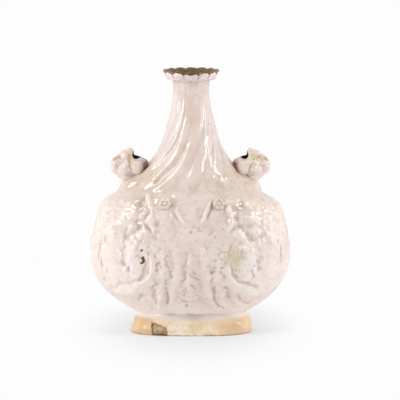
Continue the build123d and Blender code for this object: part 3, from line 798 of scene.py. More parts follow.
def start_material(name, share_names, patterns):
    """Start a material: its tree, its place, the mesh's shares, and noises by size in mm and detail."""
    material = bpy.data.materials.new(name)
    material.use_nodes = True
    tree = material.node_tree
    tree.nodes.clear()
    place = add_node(tree, "TexCoord", {}, "Object")
    found = [add_node(tree, "Attribute", {}, "Fac", attribute_name=key) for key in share_names]
    for size, detail, rough in patterns:
        scale = 1 / (size * millimetre)
        inputs = {"Vector": place, "Scale": scale, "Detail": detail, "Roughness": rough}
        found.append(add_node(tree, "TexNoise", inputs, "Fac"))
    return material, tree, place, found


def ragged(tree, share, pattern, strength, shift):
    """Break up a share's edge by a pattern: share + strength * pattern + shift."""
    broken = add_node(tree, "Math", {0: pattern, 1: strength, 2: shift}, operation="MULTIPLY_ADD")
    return add_node(tree, "Math", {0: share, 1: broken}, operation="ADD")


def laid_over(tree, colour, tone, share, low=0.0, high=1.0, most=1.0, ease="SMOOTHSTEP"):
    """Lay a tone over a colour where a share rises from low to high, at most by a given part."""
    part = add_node(tree, "MapRange", rising(share, low, high, 0.0, most), interpolation_type=ease)
    return add_node(tree, "Mix", {0: part, 6: colour, 7: tone}, 2, data_type="RGBA")


def finish_glaze(tree, colour, rough, ior, relief, strength, relief_depth):
    """Give the colour its gloss and its skin a small relief, whose depth is in millimetres."""
    inputs = {"Strength": strength, "Distance": relief_depth * millimetre, "Height": relief}
    normal = add_node(tree, "Bump", inputs)
    inputs = {"Base Color": colour, "Roughness": rough, "IOR": ior, "Normal": normal}
    add_node(tree, "OutputMaterial", {"Surface": add_node(tree, "BsdfPrincipled", inputs)})


def tin_glaze(name):
    """Thick tin glaze fired on moulded earthenware: a wet gloss over cream-pink, lilac in clouds.

    It is brown where it pools, partly as painted shade in hollows, creases and the heads' bores,
    whiter on crests as a painted highlight, lighter on the low flanks and darker on the shoulders
    partly as painted light and shade, and has pin-holes, a worn patch and bare clay. The real
    speckle is finer than a render shows, so it is drawn 6 mm and 1.6 mm wide.
    """
    share_names = ("pool", "crest_highlight", "worn", "bare", "brown", "thin_and_shaded", "thick_and_lit", "upper", "matt", "hollow")
    patterns = (
        (45.0, 3.0, 0.5), (6.0, 3.0, 0.6), (1.6, 2.0, 0.5), (20.0, 3.0, 0.6),
        (14.0, 2.0, 0.6), (11.0, 1.0, 0.5), (5.0, 1.0, 0.5),
    )
    material, tree, place, found = start_material(name, share_names, patterns)
    pool, crest_highlight, worn, bare, brown, thin_and_shaded, thick_and_lit, upper, matt, hollow = found[:10]
    cloud, mottle, fine, lilac, stain, pitting, lumps = found[10:]
    colour = laid_over(tree, "#F3E4DB", "#EEDDD4", cloud, 0.35, 0.65)
    colour = laid_over(tree, colour, "#E3CFC5", mottle, 0.5, 0.75, 0.35)
    colour = laid_over(tree, colour, "#E6D0CF", lilac, 0.48, 0.66, 0.5)
    colour = laid_over(tree, colour, "#DECBB2", stain, 0.56, 0.7, 0.5)
    # Lighter where the glaze lies thick, partly painted light on the low flanks
    colour = laid_over(tree, colour, "#FAF0EB", thick_and_lit, ease="LINEAR")
    colour = laid_over(tree, colour, "#D8CAC8", upper, most=0.7, ease="LINEAR")
    # Darker tan where the glaze runs thin on the shoulders, partly painted shade on their upward faces
    uneven = add_node(tree, "MapRange", rising(mottle, 0.3, 0.7, 0.7, 1.1), **softly)
    thin_and_shaded = add_node(tree, "Math", {0: thin_and_shaded, 1: uneven}, operation="MULTIPLY")
    colour = laid_over(tree, colour, "#D6C1AE", thin_and_shaded, ease="LINEAR")
    # Painted highlight: the crests of the relief are drawn whiter
    colour = laid_over(tree, colour, "#FAF0E9", crest_highlight, 0.05, 0.9, 0.45)
    # Pooled glaze in the hollows, partly painted shade; the darkest brown is painted shade in the
    # creases under the heads and on the heads' sides towards the neck
    pool = ragged(tree, pool, mottle, 0.5, -0.25)
    colour = laid_over(tree, colour, "#C7AFA4", pool, 0.0, 0.9, 0.75)
    colour = laid_over(tree, colour, "#7E5F50", pool, 0.95, 1.6, 0.9)
    pit = add_node(tree, "TexVoronoi", {"Vector": place, "Scale": 1 / (5.2 * millimetre)})
    pit_size = add_node(tree, "MapRange", rising(pitting, 0.52, 0.75, 0.0, 0.16), **softly)
    pits = add_node(tree, "Math", {0: pit, 1: pit_size}, operation="LESS_THAN")
    colour = laid_over(tree, colour, "#8A6A5C", pits, most=0.55, ease="LINEAR")
    worn = ragged(tree, worn, mottle, 1.1, -0.62)
    worn = add_node(tree, "MapRange", rising(worn, 0.1, 0.5, 0.0, 0.92), **softly)
    worn_colour = laid_over(tree, "#CFBE9B", "#E2D6BB", fine, 0.4, 0.6)
    colour = laid_over(tree, colour, worn_colour, worn, ease="LINEAR")
    bare = ragged(tree, bare, fine, 0.3, -0.16)
    colour = laid_over(tree, colour, "#F3E0C4", bare, 0.0, 0.08)
    clay = laid_over(tree, "#A9825A", "#5A3F24", bare, 0.2, 0.42)
    bare = add_node(tree, "MapRange", rising(bare, 0.16, 0.26), **softly)
    colour = laid_over(tree, colour, clay, bare, ease="LINEAR")
    brown = ragged(tree, brown, mottle, 0.9, -0.5)
    colour = laid_over(tree, colour, "#D3AE88", brown, 0.0, 0.35, 0.75)
    colour = laid_over(tree, colour, "#7C6856", brown, 0.45, 0.95, 0.8)
    # Painted shadow: near black inside the heads' bores and round their openings
    colour = laid_over(tree, colour, "#2B1D14", hollow, 0.55, 0.85)
    rough_skin = add_node(tree, "Math", {0: worn, 1: bare}, operation="ADD")
    matt = add_node(tree, "MapRange", rising(matt, 0.2, 0.7, 0.0, 0.9), **softly)
    dull = add_node(tree, "Math", {0: rough_skin, 1: matt}, operation="ADD")
    rough = add_node(tree, "MapRange", rising(dull, 0.0, 1.0, 0.07, 0.55), **softly)
    grain = add_node(tree, "Math", {0: rough_skin, 1: fine}, operation="MULTIPLY")
    relief = add_node(tree, "Math", {0: grain, 1: 0.6, 2: lumps}, operation="MULTIPLY_ADD")
    relief = add_node(tree, "Math", {0: pits, 1: -0.4, 2: relief}, operation="MULTIPLY_ADD")
    finish_glaze(tree, colour, rough, 1.52, relief, 0.12, 0.4)
    return material


glaze = tin_glaze("tin_glaze")
for piece, node in ((front_shell, "front_shell"), (rear_shell, "rear_shell"), (neck, "neck")):
    piece.data.materials.append(glaze)
    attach(piece, "root")
    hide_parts(node)


# --- Mouth rim ---
# A flaring collar of glazed earthenware, pinched into fourteen petals by hand and luted on the neck.
# Its glaze is worn brown along the lip and inside.
collar_bottom = 288.0
neck_side = 22.3
collar_foot_radius = 27.2
collar_lip_radius = 32.4
collar_wall = 2.6
lip_top = 299.1
lip_thickness = 0.9
lip_slack = 0.1
petal_count = 14
petal_arch = 0.55
petal_dip = 3.4
petal_pinch = 1.7
petal_bulge = 0.8
# The front petal is wider by this part of a petal, over this angle in radians
front_widening = 0.155
front_reach = 0.23
# The petals behind dip less; each petal's height and reach differ a little
rear_dip_share = 0.45
rear_turns = (1.3, 2.2)
uneven_height = 0.25
uneven_reach = 0.2
ledge_rise = 0.45
ledge_share = 0.2
rim_ripple = ((0.12, 6.0, 5),)
# Where up the petals the brown lip starts and is full, and how far lower on the front petal
brown_start = 0.84
brown_blend = 0.14
front_brown_drop = 0.24
front_brown_reach = 0.16
rim_columns = 840
wall_rows = 26
lip_rows = 10


def petal_phase(turn):
    """Petal number at an angle, whole in each petal's middle; the front petal is a little wider."""
    widened = front_widening * np.tanh(turn / front_reach) * smooth_step(np.pi, 1.6, np.abs(turn))
    return turn * petal_count / (2 * np.pi) - widened


def rim_surface():
    """Profile turned round the axis, pinched between petals: up outside, over the lip, down inside."""
    turn = 2 * np.pi * np.arange(rim_columns) / rim_columns - np.pi
    level = np.zeros(rim_columns)
    phase = petal_phase(turn)
    arch = np.abs(np.cos(np.pi * phase)) ** petal_arch
    order = np.round(phase)
    uneven = 0.35 * np.sin(order * 2.4) + 0.25 * np.sin(order * 5.1)
    rear_loss = (1 - rear_dip_share) * smooth_step(*rear_turns, np.abs(turn))
    dip = petal_dip * (1 - rear_loss) * (1 - arch)
    lip_height = lip_top - lip_slack - dip - uneven_height * np.abs(uneven)
    lip_radius = collar_lip_radius - petal_pinch * (1 - arch) + uneven_reach * uneven
    up = np.linspace(0, 1, wall_rows)[:, None]
    tuck = 1 - (1 - np.clip(up / ledge_share, 0, 1)) ** 2
    outer_radius = neck_side + (collar_foot_radius - neck_side) * tuck
    flared = np.clip((up - 0.1) / 0.9, 0, 1) ** 1.1
    outer_radius = outer_radius + (lip_radius - collar_foot_radius) * flared
    outer_radius = outer_radius + petal_bulge * np.sin(np.pi * up) * (arch - 0.35)
    ledge = ledge_rise * bell((up - ledge_share) / 0.1)
    outer_radius = outer_radius + ledge * np.cos(4 * np.pi * phase)
    bend = np.linspace(0, np.pi, lip_rows + 2)[1:-1, None]
    over_radius = lip_radius - collar_wall / 2 * (1 - np.cos(bend))
    over_height = lip_height + lip_thickness * np.sin(bend)
    down = 1 - up
    inner_radius = neck_bore_radius + (lip_radius - collar_wall - neck_bore_radius) * down**0.8
    outer_height = collar_bottom + (lip_height - collar_bottom) * up
    inner_height = outer_height[::-1]
    radius = np.concatenate([outer_radius, over_radius, inner_radius])
    height = np.concatenate([outer_height, over_height, inner_height])
    points = np.stack([radius * np.sin(turn), -radius * np.cos(turn), height], -1)
    points += grid_normals(points, True, True) * (ripples(points, rim_ripple) - lip_slack)[..., None]

    outer, over, inner = (np.zeros(part.shape) for part in (outer_radius, over_radius, inner_radius))
    low_edge = brown_start - front_brown_drop * bell(turn / front_brown_reach)
    cusp = bell((1 - np.abs(np.sin(np.pi * phase))) / 0.05)
    # Pooled glaze in the folds between the petals and at the collar's foot, partly painted shade
    pool = 0.9 * (1 - arch) * np.sin(np.pi * up) + 0.5 * bell(up / 0.08)
    rows = {
        "edge": (smooth_step(low_edge, low_edge + brown_blend, up + level), over + 1, inner + 1),
        "inside": (outer, smooth_step(0.3, 0.9, bend / np.pi + level), inner + 1),
        "cusp": (outer + cusp, over + cusp, inner + cusp),
        "depth": (outer, over, up + level),
        "pool": (pool, over, inner),
    }
    return points, {key: np.concatenate(parts) for key, parts in rows.items()}


rim_points, rim_attributes = rim_surface()
rim_points = set_over(rim_points)
rim_normals = grid_normals(rim_points, True, True)
mouth_rim = closed_grid("mouth_rim_glazed", rim_points, rim_normals, False, rim_attributes)


def brown_edged_glaze(name):
    """Tin glaze worn through at the lip: glossy pinkish white, tan on the edge, dull brown inside.

    The speckle is drawn 3 mm and 1.2 mm wide, coarser than the real one, so that it shows.
    """
    patterns = ((3.0, 3.0, 0.6), (1.2, 2.0, 0.5), (11.0, 2.0, 0.5))
    share_names = ("edge", "inside", "cusp", "depth", "pool")
    material, tree, _, found = start_material(name, share_names, patterns)
    edge, inside, cusp, depth, pool, mottle, fine, wide = found
    colour = laid_over(tree, "#F2E4DE", "#E0C9C4", mottle, 0.4, 0.7)
    # Pooled glaze in the folds, partly painted shade
    colour = laid_over(tree, colour, "#B79A93", pool, 0.0, 0.9, 0.6)
    high = add_node(tree, "Math", {0: edge, 1: 0.8, 2: 0.2}, operation="MULTIPLY_ADD")
    worn = add_node(tree, "Math", {0: cusp, 1: high, 2: edge}, operation="MULTIPLY_ADD")
    worn = ragged(tree, worn, mottle, 0.9, -0.45)
    worn = add_node(tree, "MapRange", rising(worn, 0.45, 0.75), **softly)
    lip_tone = laid_over(tree, "#76573A", "#4B3323", wide, 0.4, 0.6)
    colour = laid_over(tree, colour, lip_tone, worn, ease="LINEAR")
    inner = laid_over(tree, "#756343", "#6A3B18", ragged(tree, depth, mottle, 0.9, -0.45), 0.0, 0.3)
    inner = laid_over(tree, inner, "#9A8058", fine, 0.5, 0.7, 0.35)
    colour = laid_over(tree, colour, inner, ragged(tree, inside, mottle, 0.9, -0.45), 0.25, 0.6)
    begun, ended = (
        add_node(tree, "MapRange", rising(inside, *ends), **softly)
        for ends in ((0.02, 0.12), (0.6, 0.4))
    )
    lip_line = add_node(tree, "Math", {0: begun, 1: ended}, operation="MULTIPLY")
    colour = laid_over(tree, colour, "#CBA981", lip_line, most=0.9, ease="LINEAR")
    rough = add_node(tree, "MapRange", rising(worn, 0.0, 1.0, 0.13, 0.4), **softly)
    finish_glaze(tree, colour, rough, 1.52, mottle, 0.5, 0.5)
    return material


mouth_rim.data.materials.append(brown_edged_glaze("tin_glaze_worn_brown"))
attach(mouth_rim, "root")
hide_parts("mouth_rim")


# --- Foot ---
# An oval ring of buff earthenware with a rounded flare, luted under the belly. The thin glaze is
# worn to the clay, and an old chip shows it in front.
foot_top_half = (60.5, 35.0)
foot_flare_half = (69.8, 43.8)
foot_ring_width = 9.0
foot_ring_edge = 7.5
flare_squareness = 2.8
bore_squareness = 2.3
# Inner wall of the foot, from the ring up: height and share of the flare
foot_inner_profile = np.array([(0.0, 1.0), (1.2, 1.0), (6.0, 0.8), (14.0, 0.4), (20.5, 0.0)])
# Profile from the top: height, share of the flare, squareness
foot_profile = np.array(
    [
        (24.5, 0.02, 2.1),
        (23.0, 0.08, 2.1),
        (21.3, 0.2, 2.2),
        (19.3, 0.42, 2.35),
        (17.2, 0.64, 2.5),
        (14.4, 0.84, 2.6),
        (11.0, 0.95, 2.7),
        (7.0, 1.0, 2.8),
        (3.0, 1.0, 2.8),
        (0.7, 0.99, 2.8),
        (0.0, 0.94, 2.8),
    ]
)
# Share of the flare at the same heights, at the front and back, where glaze fills the joint
foot_front_shares = (0.3, 0.25, 0.29, 0.45, 0.65, 0.84, 0.95, 1.0, 1.0, 0.99, 0.94)
# The left end slopes out more evenly: its share grows between these sines of the angle
cone_turns = (-0.3, -1.0)
foot_cone_shares = (0.02, 0.08, 0.16, 0.27, 0.4, 0.55, 0.72, 0.88, 0.97, 1.02, 1.0)
foot_columns = 760
foot_rows = 58
chip_corners = ((-45.3, 15.2), (-38.0, 13.2), (-28.6, 8.6), (-27.6, -2.0), (-44.6, -2.0))
chip_sunk = 1.7
foot_slack = 0.45
foot_lumps = ((0.35, 30.0, 11), (0.2, 10.0, 12))
chip_edge_wear = ((0.5, 4.0, 13), (0.25, 1.8, 14))
chip_floor_wear = ((0.3, 3.0, 15),)
# The ends are browner, partly tan glaze and partly painted shade, the left one most, where the left
# lamp falls: place from the middle, heights, least and extra share
brown_ends = (22.0, 58.0)
brown_end_heights = (21.0, 15.0)
brown_end_share = 0.85
left_end_shade = 0.45


def squared_ring(half_width, half_depth, squareness, turn):
    """Superellipse: the power of the sine and cosine falls as the squareness grows."""
    s, c = np.sin(turn), np.cos(turn)
    x = half_width * np.sign(s) * np.abs(s) ** (2 / squareness)
    y = -half_depth * np.sign(c) * np.abs(c) ** (2 / squareness)
    return x, y


def polygon_depth(x, z, corners):
    """Distance inside a polygon from its nearest edge; negative outside."""
    away = np.full(x.shape, 1e9)
    inside = np.zeros(x.shape, bool)
    for (x0, z0), (x1, z1) in zip(corners, corners[1:] + corners[:1]):
        run = (x1 - x0) ** 2 + (z1 - z0) ** 2
        t = np.clip(((x - x0) * (x1 - x0) + (z - z0) * (z1 - z0)) / run, 0, 1)
        away = np.minimum(away, np.hypot(x - x0 - t * (x1 - x0), z - z0 - t * (z1 - z0)))
        crosses = (z0 > z) != (z1 > z)
        inside ^= crosses & (x < (x1 - x0) * (z - z0) / (z1 - z0 + 1e-9) + x0)
    return np.where(inside, away, -away)


def even_angles(count, half_width, half_depth, squareness):
    """Angles whose points on a squared ring are evenly spaced."""
    fine = np.linspace(-np.pi, np.pi, 20001)
    x, y = squared_ring(half_width, half_depth, squareness, fine)
    along = np.concatenate([[0], np.cumsum(np.hypot(np.diff(x), np.diff(y)))])
    return np.interp(np.arange(count) / count * along[-1], along, fine)


def foot_surface():
    """Squared rings down the outside and up the inner wall, with the chip sunk along the normals."""
    turn = even_angles(foot_columns, *foot_flare_half, flare_squareness)[None, :]
    steps = np.linspace(0, 1, foot_rows)
    place = np.linspace(0, 1, len(foot_profile))
    columns = (*foot_profile.T, foot_front_shares, foot_cone_shares)
    height, flare, square, front_flare, cone = (np.interp(steps, place, v)[:, None] for v in columns)
    height, flare = (
        np.convolve(np.pad(v[:, 0], 2, "edge"), np.ones(5) / 5, "valid")[:, None]
        for v in (height, flare)
    )
    flare = flare + (cone - flare) * smooth_step(*cone_turns, np.sin(turn))
    (top_wide, top_deep), (flare_wide, flare_deep) = foot_top_half, foot_flare_half
    half_width = top_wide + (flare_wide - top_wide) * flare
    half_depth = top_deep + (flare_deep - top_deep) * front_flare
    x, y = squared_ring(half_width, half_depth, square, turn)
    inner_height, inner_share = foot_inner_profile[:, :1], foot_inner_profile[:, 1:]
    set_in = np.where(inner_height > 0, foot_ring_width, foot_ring_edge)
    inner_width = top_wide + (flare_wide - top_wide) * inner_share - set_in
    inner_depth = top_deep + (flare_deep - top_deep) * inner_share - set_in
    inner_x, inner_y = squared_ring(inner_width, inner_depth, bore_squareness, turn)
    z = np.concatenate([height, inner_height]) + 0 * turn
    points = np.stack([np.concatenate([x, inner_x]), np.concatenate([y, inner_y]), z], -1)
    normals = -grid_normals(points, True, True)
    outer = np.arange(len(points))[:, None] < foot_rows
    lumps = (ripples(points, foot_lumps) - foot_slack) * smooth_step(0.0, 3.0, z) * outer
    uneven = ripples(points, chip_edge_wear)
    depth_in = polygon_depth(points[..., 0] + uneven, z + uneven, chip_corners)
    front = (points[..., 1] < 0) & outer
    chip = smooth_step(-0.2, 0.9, depth_in) * front
    # Painted shadow along the chip's edges
    chip_edge_shadow = bell(depth_in / 0.7) * front
    sunk = chip * (chip_sunk + ripples(points, chip_floor_wear))
    points = points + normals * (lumps - sunk)[..., None]
    x, z = points[..., 0], points[..., 2]
    # Browner ends, partly painted shade
    ends = smooth_step(*brown_ends, np.abs(x)) * smooth_step(*brown_end_heights, z) * outer
    return points, {
        "chip": chip,
        "chip_edge_shadow": chip_edge_shadow,
        "pool": 0.9 * smooth_step(10.0, 22.0, z) * outer,
        "shaded": smooth_step(15.0, 20.0, z) * bell(x / 16.0) * outer,
        "ends": ends * (brown_end_share + left_end_shade * smooth_step(10.0, -10.0, x)),
        # Darker brown along the bottom edge
        "darkened_bottom_edge": smooth_step(1.8, 0.4, z) * outer,
    }


foot_points, foot_attributes = foot_surface()
foot_points = set_over(foot_points[::-1])
foot_attributes = {k: v[::-1] for k, v in foot_attributes.items()}
foot_normals = grid_normals(foot_points, True, True)
foot = closed_grid("foot_worn_glaze", foot_points, foot_normals, False, foot_attributes)


def worn_foot_glaze(name):
    """Thin glaze worn to buff earthenware: cream with a soft gloss, orange-tan in patches.

    The chip shows dull brown clay with dark grit, which is drawn 1.4 mm wide so that it shows; painted
    shadow darkens its edges.
    """
    share_names = ("chip", "chip_edge_shadow", "pool", "shaded", "ends", "darkened_bottom_edge")
    patterns = ((28.0, 4.0, 0.6), (7.0, 3.0, 0.6), (1.4, 2.0, 0.5))
    material, tree, _, found = start_material(name, share_names, patterns)
    chip, chip_edge_shadow, pool, shaded, ends, darkened_bottom_edge, cloud, mottle, fine = found
    colour = laid_over(tree, "#FDEEDA", "#F3D8B4", cloud, 0.38, 0.6)
    colour = laid_over(tree, colour, "#E8BE92", mottle, 0.5, 0.7, 0.6)
    colour = laid_over(tree, colour, "#FBF1E8", ragged(tree, pool, mottle, 0.8, -0.4), 0.2, 1.0)
    colour = laid_over(tree, colour, "#D9BFB2", shaded, most=0.5, ease="LINEAR")
    # Browner ends, partly painted shade
    colour = laid_over(tree, colour, "#DDB88C", ends, high=1.25, ease="LINEAR")
    # Darker brown along the bottom edge
    uneven = add_node(tree, "MapRange", rising(mottle, 0.35, 0.6, 0.3, 0.9), **softly)
    darkened_bottom_edge = add_node(tree, "Math", {0: darkened_bottom_edge, 1: uneven}, operation="MULTIPLY")
    colour = laid_over(tree, colour, "#8A6E52", darkened_bottom_edge, ease="LINEAR")
    clay = laid_over(tree, "#AD8C66", "#DBC196", mottle, 0.42, 0.58)
    clay = laid_over(tree, clay, "#6B4E38", fine, 0.54, 0.7, 0.9)
    colour = laid_over(tree, colour, clay, chip, ease="LINEAR")
    # Painted shadow along the chip's edges
    colour = laid_over(tree, colour, "#33241B", chip_edge_shadow, most=0.85, ease="LINEAR")
    dry = add_node(tree, "MapRange", rising(mottle, 0.5, 0.7, 0.0, 0.25), **softly)
    dry = add_node(tree, "Math", {0: chip, 1: dry}, operation="ADD")
    rough = add_node(tree, "MapRange", rising(dry, 0.0, 1.0, 0.1, 0.8), **softly)
    relief = add_node(tree, "Math", {0: fine, 1: 0.3, 2: mottle}, operation="MULTIPLY_ADD")
    finish_glaze(tree, colour, rough, 1.5, relief, 0.3, 0.6)
    return material


foot.data.materials.append(worn_foot_glaze("thin_glaze_on_buff_clay"))
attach(foot, "root")
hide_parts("foot")


# --- Animal heads ---
# Two solid pressed heads from one mould, luted on the shoulders and pierced for a cord from the nape
# to the throat. Lengths are taken outwards, across and up from the head's middle.
head_middle = (69.0, 0.0, 192.5)
bore_radius = 4.5
bore_middle = (3.5, 0.0, -0.7)
bore_slope = 45.0
head_columns = 190
head_rows = 150
bore_rows = 6
head_blend = 1.3
dent_blend = 0.5
head_slack = 0.2
head_lumps = ((0.34, 7.0, 21), (0.12, 3.0, 22))
# Painted shadow round the bore's openings: how far it reaches from the nape and the throat
nape_shadow_edge = 0.16
throat_shadow_edge = 0.05
# Rays that find the head's surface: the longest, their first step and the halvings after it
longest_ray = 40.0
ray_step = 0.5
ray_halvings = 18
slope_step = 0.02
# Painted shade on the side that faces the neck, drawn as deep pooled glaze: out and up from the head's
# middle
nape_shade = 1.9
nape_shade_out = (-9.0, -19.0)
nape_shade_up = (8.0, 0.0)
# Rounded masses: middle (out, across, up) and half sizes. Those off the middle plane come in pairs.
head_masses = (
    ((-3.0, 0.0, -1.0), (14.0, 13.0, 10.5)),
    ((-13.0, 0.0, -3.5), (9.5, 11.0, 9.5)),
    ((-0.6, 0.0, 12.0), (3.9, 6.0, 6.0)),
    ((4.4, 0.0, 9.0), (6.6, 8.0, 6.6)),
    ((9.0, 0.0, 4.5), (7.0, 8.5, 7.0)),
    ((14.4, 0.0, 1.8), (6.0, 7.6, 6.0)),
    ((15.2, 0.0, -4.0), (7.0, 8.4, 7.6)),
    ((6.0, 0.0, -9.0), (10.6, 10.5, 8.0)),
    ((2.5, 0.0, -14.5), (9.0, 11.0, 7.5)),
)
head_pairs = (
    ((-9.2, 9.2, -3.2), (7.8, 7.2, 9.0)),
    ((4.0, 6.4, 9.0), (4.2, 3.4, 3.6)),
    ((15.6, 4.8, 1.4), (3.6, 3.4, 3.6)),
    ((2.4, 11.6, -0.8), (2.0, 2.6, 4.8)),
    ((4.5, 9.6, -5.5), (6.5, 4.2, 6.0)),
)
# Hollow pressed in beside the front of each hole, where its dark inside shows
bore_dent = ((-8.8, -9.6, 11.8), (7.4, 8.6, 8.2))
# Sunk strokes: their places, half width and depth, for the folds of cheek, ear, brow, mouth and nostril
head_cuts = (
    (((-5.4, 13.6, -12.0), (-2.8, 14.6, -8.0), (-0.6, 14.6, -3.6), (0.4, 13.8, 1.8)), 2.2, 1.1),
    (((4.6, 12.6, 3.2), (5.0, 13.0, -2.0)), 1.4, 0.8),
    (((10.4, 8.6, 6.2), (11.4, 5.0, 8.4), (11.6, 0.5, 9.0)), 1.6, 1.0),
    (((22.0, 2.0, -0.6), (18.6, 7.4, -1.2), (14.4, 8.8, -2.6)), 1.4, 1.0),
    (((16.6, 4.6, 6.4), (18.4, 3.6, 5.2)), 1.5, 1.3),
    (((13.4, 6.6, 6.4), (14.6, 6.4, 5.2)), 1.3, 1.0),
    (((-6.0, 10.6, 5.0), (-10.0, 11.4, 1.5)), 1.6, 0.8),
)


def mass_distance(points, middle, half_sizes):
    """Approximate signed distance to an ellipsoid: k(k - 1) / |p / r^2| with k = |p / r|."""
    away = points - np.array(middle)
    k = np.linalg.norm(away / half_sizes, axis=-1)
    pull = np.linalg.norm(away / np.square(half_sizes), axis=-1)
    return k * (k - 1) / np.maximum(pull, 1e-6)


def head_field(points):
    """Smooth union of the masses, -b log(sum of exp(-distance / b)), less the dent; negative inside."""
    folded = points.copy()
    folded[..., 1] = np.abs(folded[..., 1])
    parts = [mass_distance(points, *mass) for mass in head_masses]
    parts += [mass_distance(folded, *mass) for mass in head_pairs]
    whole = -head_blend * np.log(sum(np.exp(-np.clip(part, -12, 30) / head_blend) for part in parts))
    dent = -mass_distance(points, *bore_dent)
    return dent_blend * np.logaddexp(whole / dent_blend, dent / dent_blend)


def tube_share(points, places, half_width):
    """(1 - d^2)^2 round a line of places, with d the distance over the half width."""
    nearest = np.full(points.shape[:-1], 9.0)
    for a, b in zip(np.array(places[:-1]), np.array(places[1:])):
        t = np.clip(((points - a) @ (b - a)) / ((b - a) @ (b - a)), 0, 1)
        away = np.linalg.norm(points - a - t[..., None] * (b - a), axis=-1)
        nearest = np.minimum(nearest, away / half_width)
    return np.clip(1 - nearest**2, 0, 1) ** 2


def head_surface():
    """Rays from a ring round the bore meet the head; rows run from the nape over it to the throat."""
    slope = np.radians(bore_slope)
    axis = np.array([np.cos(slope), 0.0, -np.sin(slope)])
    lift = np.array([np.sin(slope), 0.0, np.cos(slope)])
    around = 2 * np.pi * np.arange(head_columns) / head_columns
    spoke = np.cos(around)[:, None] * lift + np.sin(around)[:, None] * np.array([0.0, 1.0, 0.0])
    swing = np.linspace(0, np.pi, head_rows)
    ways = -np.cos(swing)[:, None, None] * axis + np.sin(swing)[:, None, None] * spoke
    starts = np.array(bore_middle) + bore_radius * spoke[None, :, :] + 0 * ways
    near, far = np.zeros(ways.shape[:2]), np.full(ways.shape[:2], longest_ray)
    found = np.zeros(ways.shape[:2], bool)
    for reach in np.arange(ray_step, longest_ray, ray_step):
        outside = head_field(starts + reach * ways) > 0
        first = outside & ~found
        near[first], far[first] = reach - ray_step, reach
        found |= outside
    for _ in range(ray_halvings):
        middle = (near + far) / 2
        outside = head_field(starts + middle[..., None] * ways) > 0
        far = np.where(outside, middle, far)
        near = np.where(outside, near, middle)
    points = starts + far[..., None] * ways
    steps = slope_step * np.eye(3)
    normals = np.stack([head_field(points + step) - head_field(points - step) for step in steps], -1)
    normals /= np.linalg.norm(normals, axis=-1, keepdims=True)
    folded = points.copy()
    folded[..., 1] = np.abs(folded[..., 1])
    cut = np.zeros(points.shape[:2])
    for places, half_width, depth in head_cuts:
        cut = np.maximum(cut, depth * tube_share(folded, places, half_width))
    rise = ripples(points, head_lumps) - cut - head_slack
    points = points + normals * (rise * np.sin(swing)[:, None] ** 0.5)[..., None]
    share = np.linspace(0, 1, bore_rows + 2)[1:-1, None, None]
    bore = points[-1] + (points[0] - points[-1]) * share
    lined = np.ones(bore.shape[:2])
    # Painted shadow: the bore's lining and the rims of its openings are drawn near black
    edge = bell(swing / nape_shadow_edge) + bell((np.pi - swing) / throat_shadow_edge)
    hollow = np.clip(edge, 0, 1)[:, None] + 0 * cut
    return np.concatenate([points, bore]), {
        "pool": np.concatenate([cut / 1.5, lined]),
        "hollow": np.concatenate([hollow, lined]),
    }


head_points, head_shares = head_surface()
# Worn and brown places on each head: place (out, forward, up) and reach
right_worn = (
    ((4.5, 10.0, 8.5), 7.0), ((13.5, 6.5, 7.0), 6.5), ((3.7, 13.0, 1.5), 3.6), ((18.0, 4.5, 4.5), 4.0),
)
right_brown = (((17.5, 5.0, 6.0), 4.4), ((21.0, 3.5, 1.0), 3.2), ((8.6, 7.5, 8.2), 3.4))
left_worn = (
    ((-0.5, 10.0, 9.5), 6.0), ((-0.5, 12.5, 3.5), 4.6),
    ((-7.0, 10.5, 5.5), 4.5), ((3.0, 8.0, 12.0), 4.0),
)
left_brown = (
    ((13.0, 6.0, 8.0), 4.2), ((16.5, 5.5, 5.5), 4.8), ((19.5, 4.5, 1.0), 3.6),
    ((0.5, 9.0, 10.5), 3.0), ((0.0, 10.5, 7.0), 3.6), ((0.5, 11.5, 3.5), 3.0),
)


def near_places(points, places):
    """1 at the places, falling to 0 at each one's reach."""
    share = np.zeros(points.shape[:-1])
    for place, reach in places:
        share = np.maximum(share, 1 - np.linalg.norm(points - np.array(place), axis=-1) / reach)
    return share


def make_head(name, side, worn_places, brown_places):
    """Set one head on its shoulder; the left one mirrors the right one."""
    out, up = head_points[..., 0], head_points[..., 2]
    forward = head_points * np.array([1.0, -1.0, 1.0])
    shares = dict(head_shares)
    shares["worn"] = np.clip(1.3 * near_places(forward, worn_places), 0, 1)
    shares["brown"] = near_places(forward, brown_places)
    # Painted shade on the side that faces the neck
    nape = smooth_step(*nape_shade_out, out) * smooth_step(*nape_shade_up, up)
    shares["pool"] = shares["pool"] + nape_shade * nape
    placed = (head_points + np.array(head_middle)) * np.array([side, 1.0, 1.0])
    if side < 0:
        placed = placed[:, ::-1]
        shares = {key: values[:, ::-1] for key, values in shares.items()}
    return closed_grid(name, placed, grid_normals(placed, True, True), False, shares)


right_head = make_head("right_head_glazed", 1.0, right_worn, right_brown)
left_head = make_head("left_head_glazed", -1.0, left_worn, left_brown)
for piece, node in ((right_head, "right_head"), (left_head, "left_head")):
    piece.data.materials.append(glaze)
    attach(piece, "root")
    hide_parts(node)


# --- Rosettes ---
# Four small earthenware flowers with six petals and a button, pressed in a mould, luted to the
# shoulders with slip and glazed over with the body.
rosette_radius = 7.0
rosette_rise = 2.2
button_radius = 2.3
button_rise = 1.1
button_groove = 0.8
petal_bluntness = 0.6
notched_radius_share = 0.82
notched_rise_share = 0.55
rosette_sink = 1.6
rosette_lift = 0.6
rosette_ripple = ((0.1, 5.0, 31),)
slope_reach = 4.0
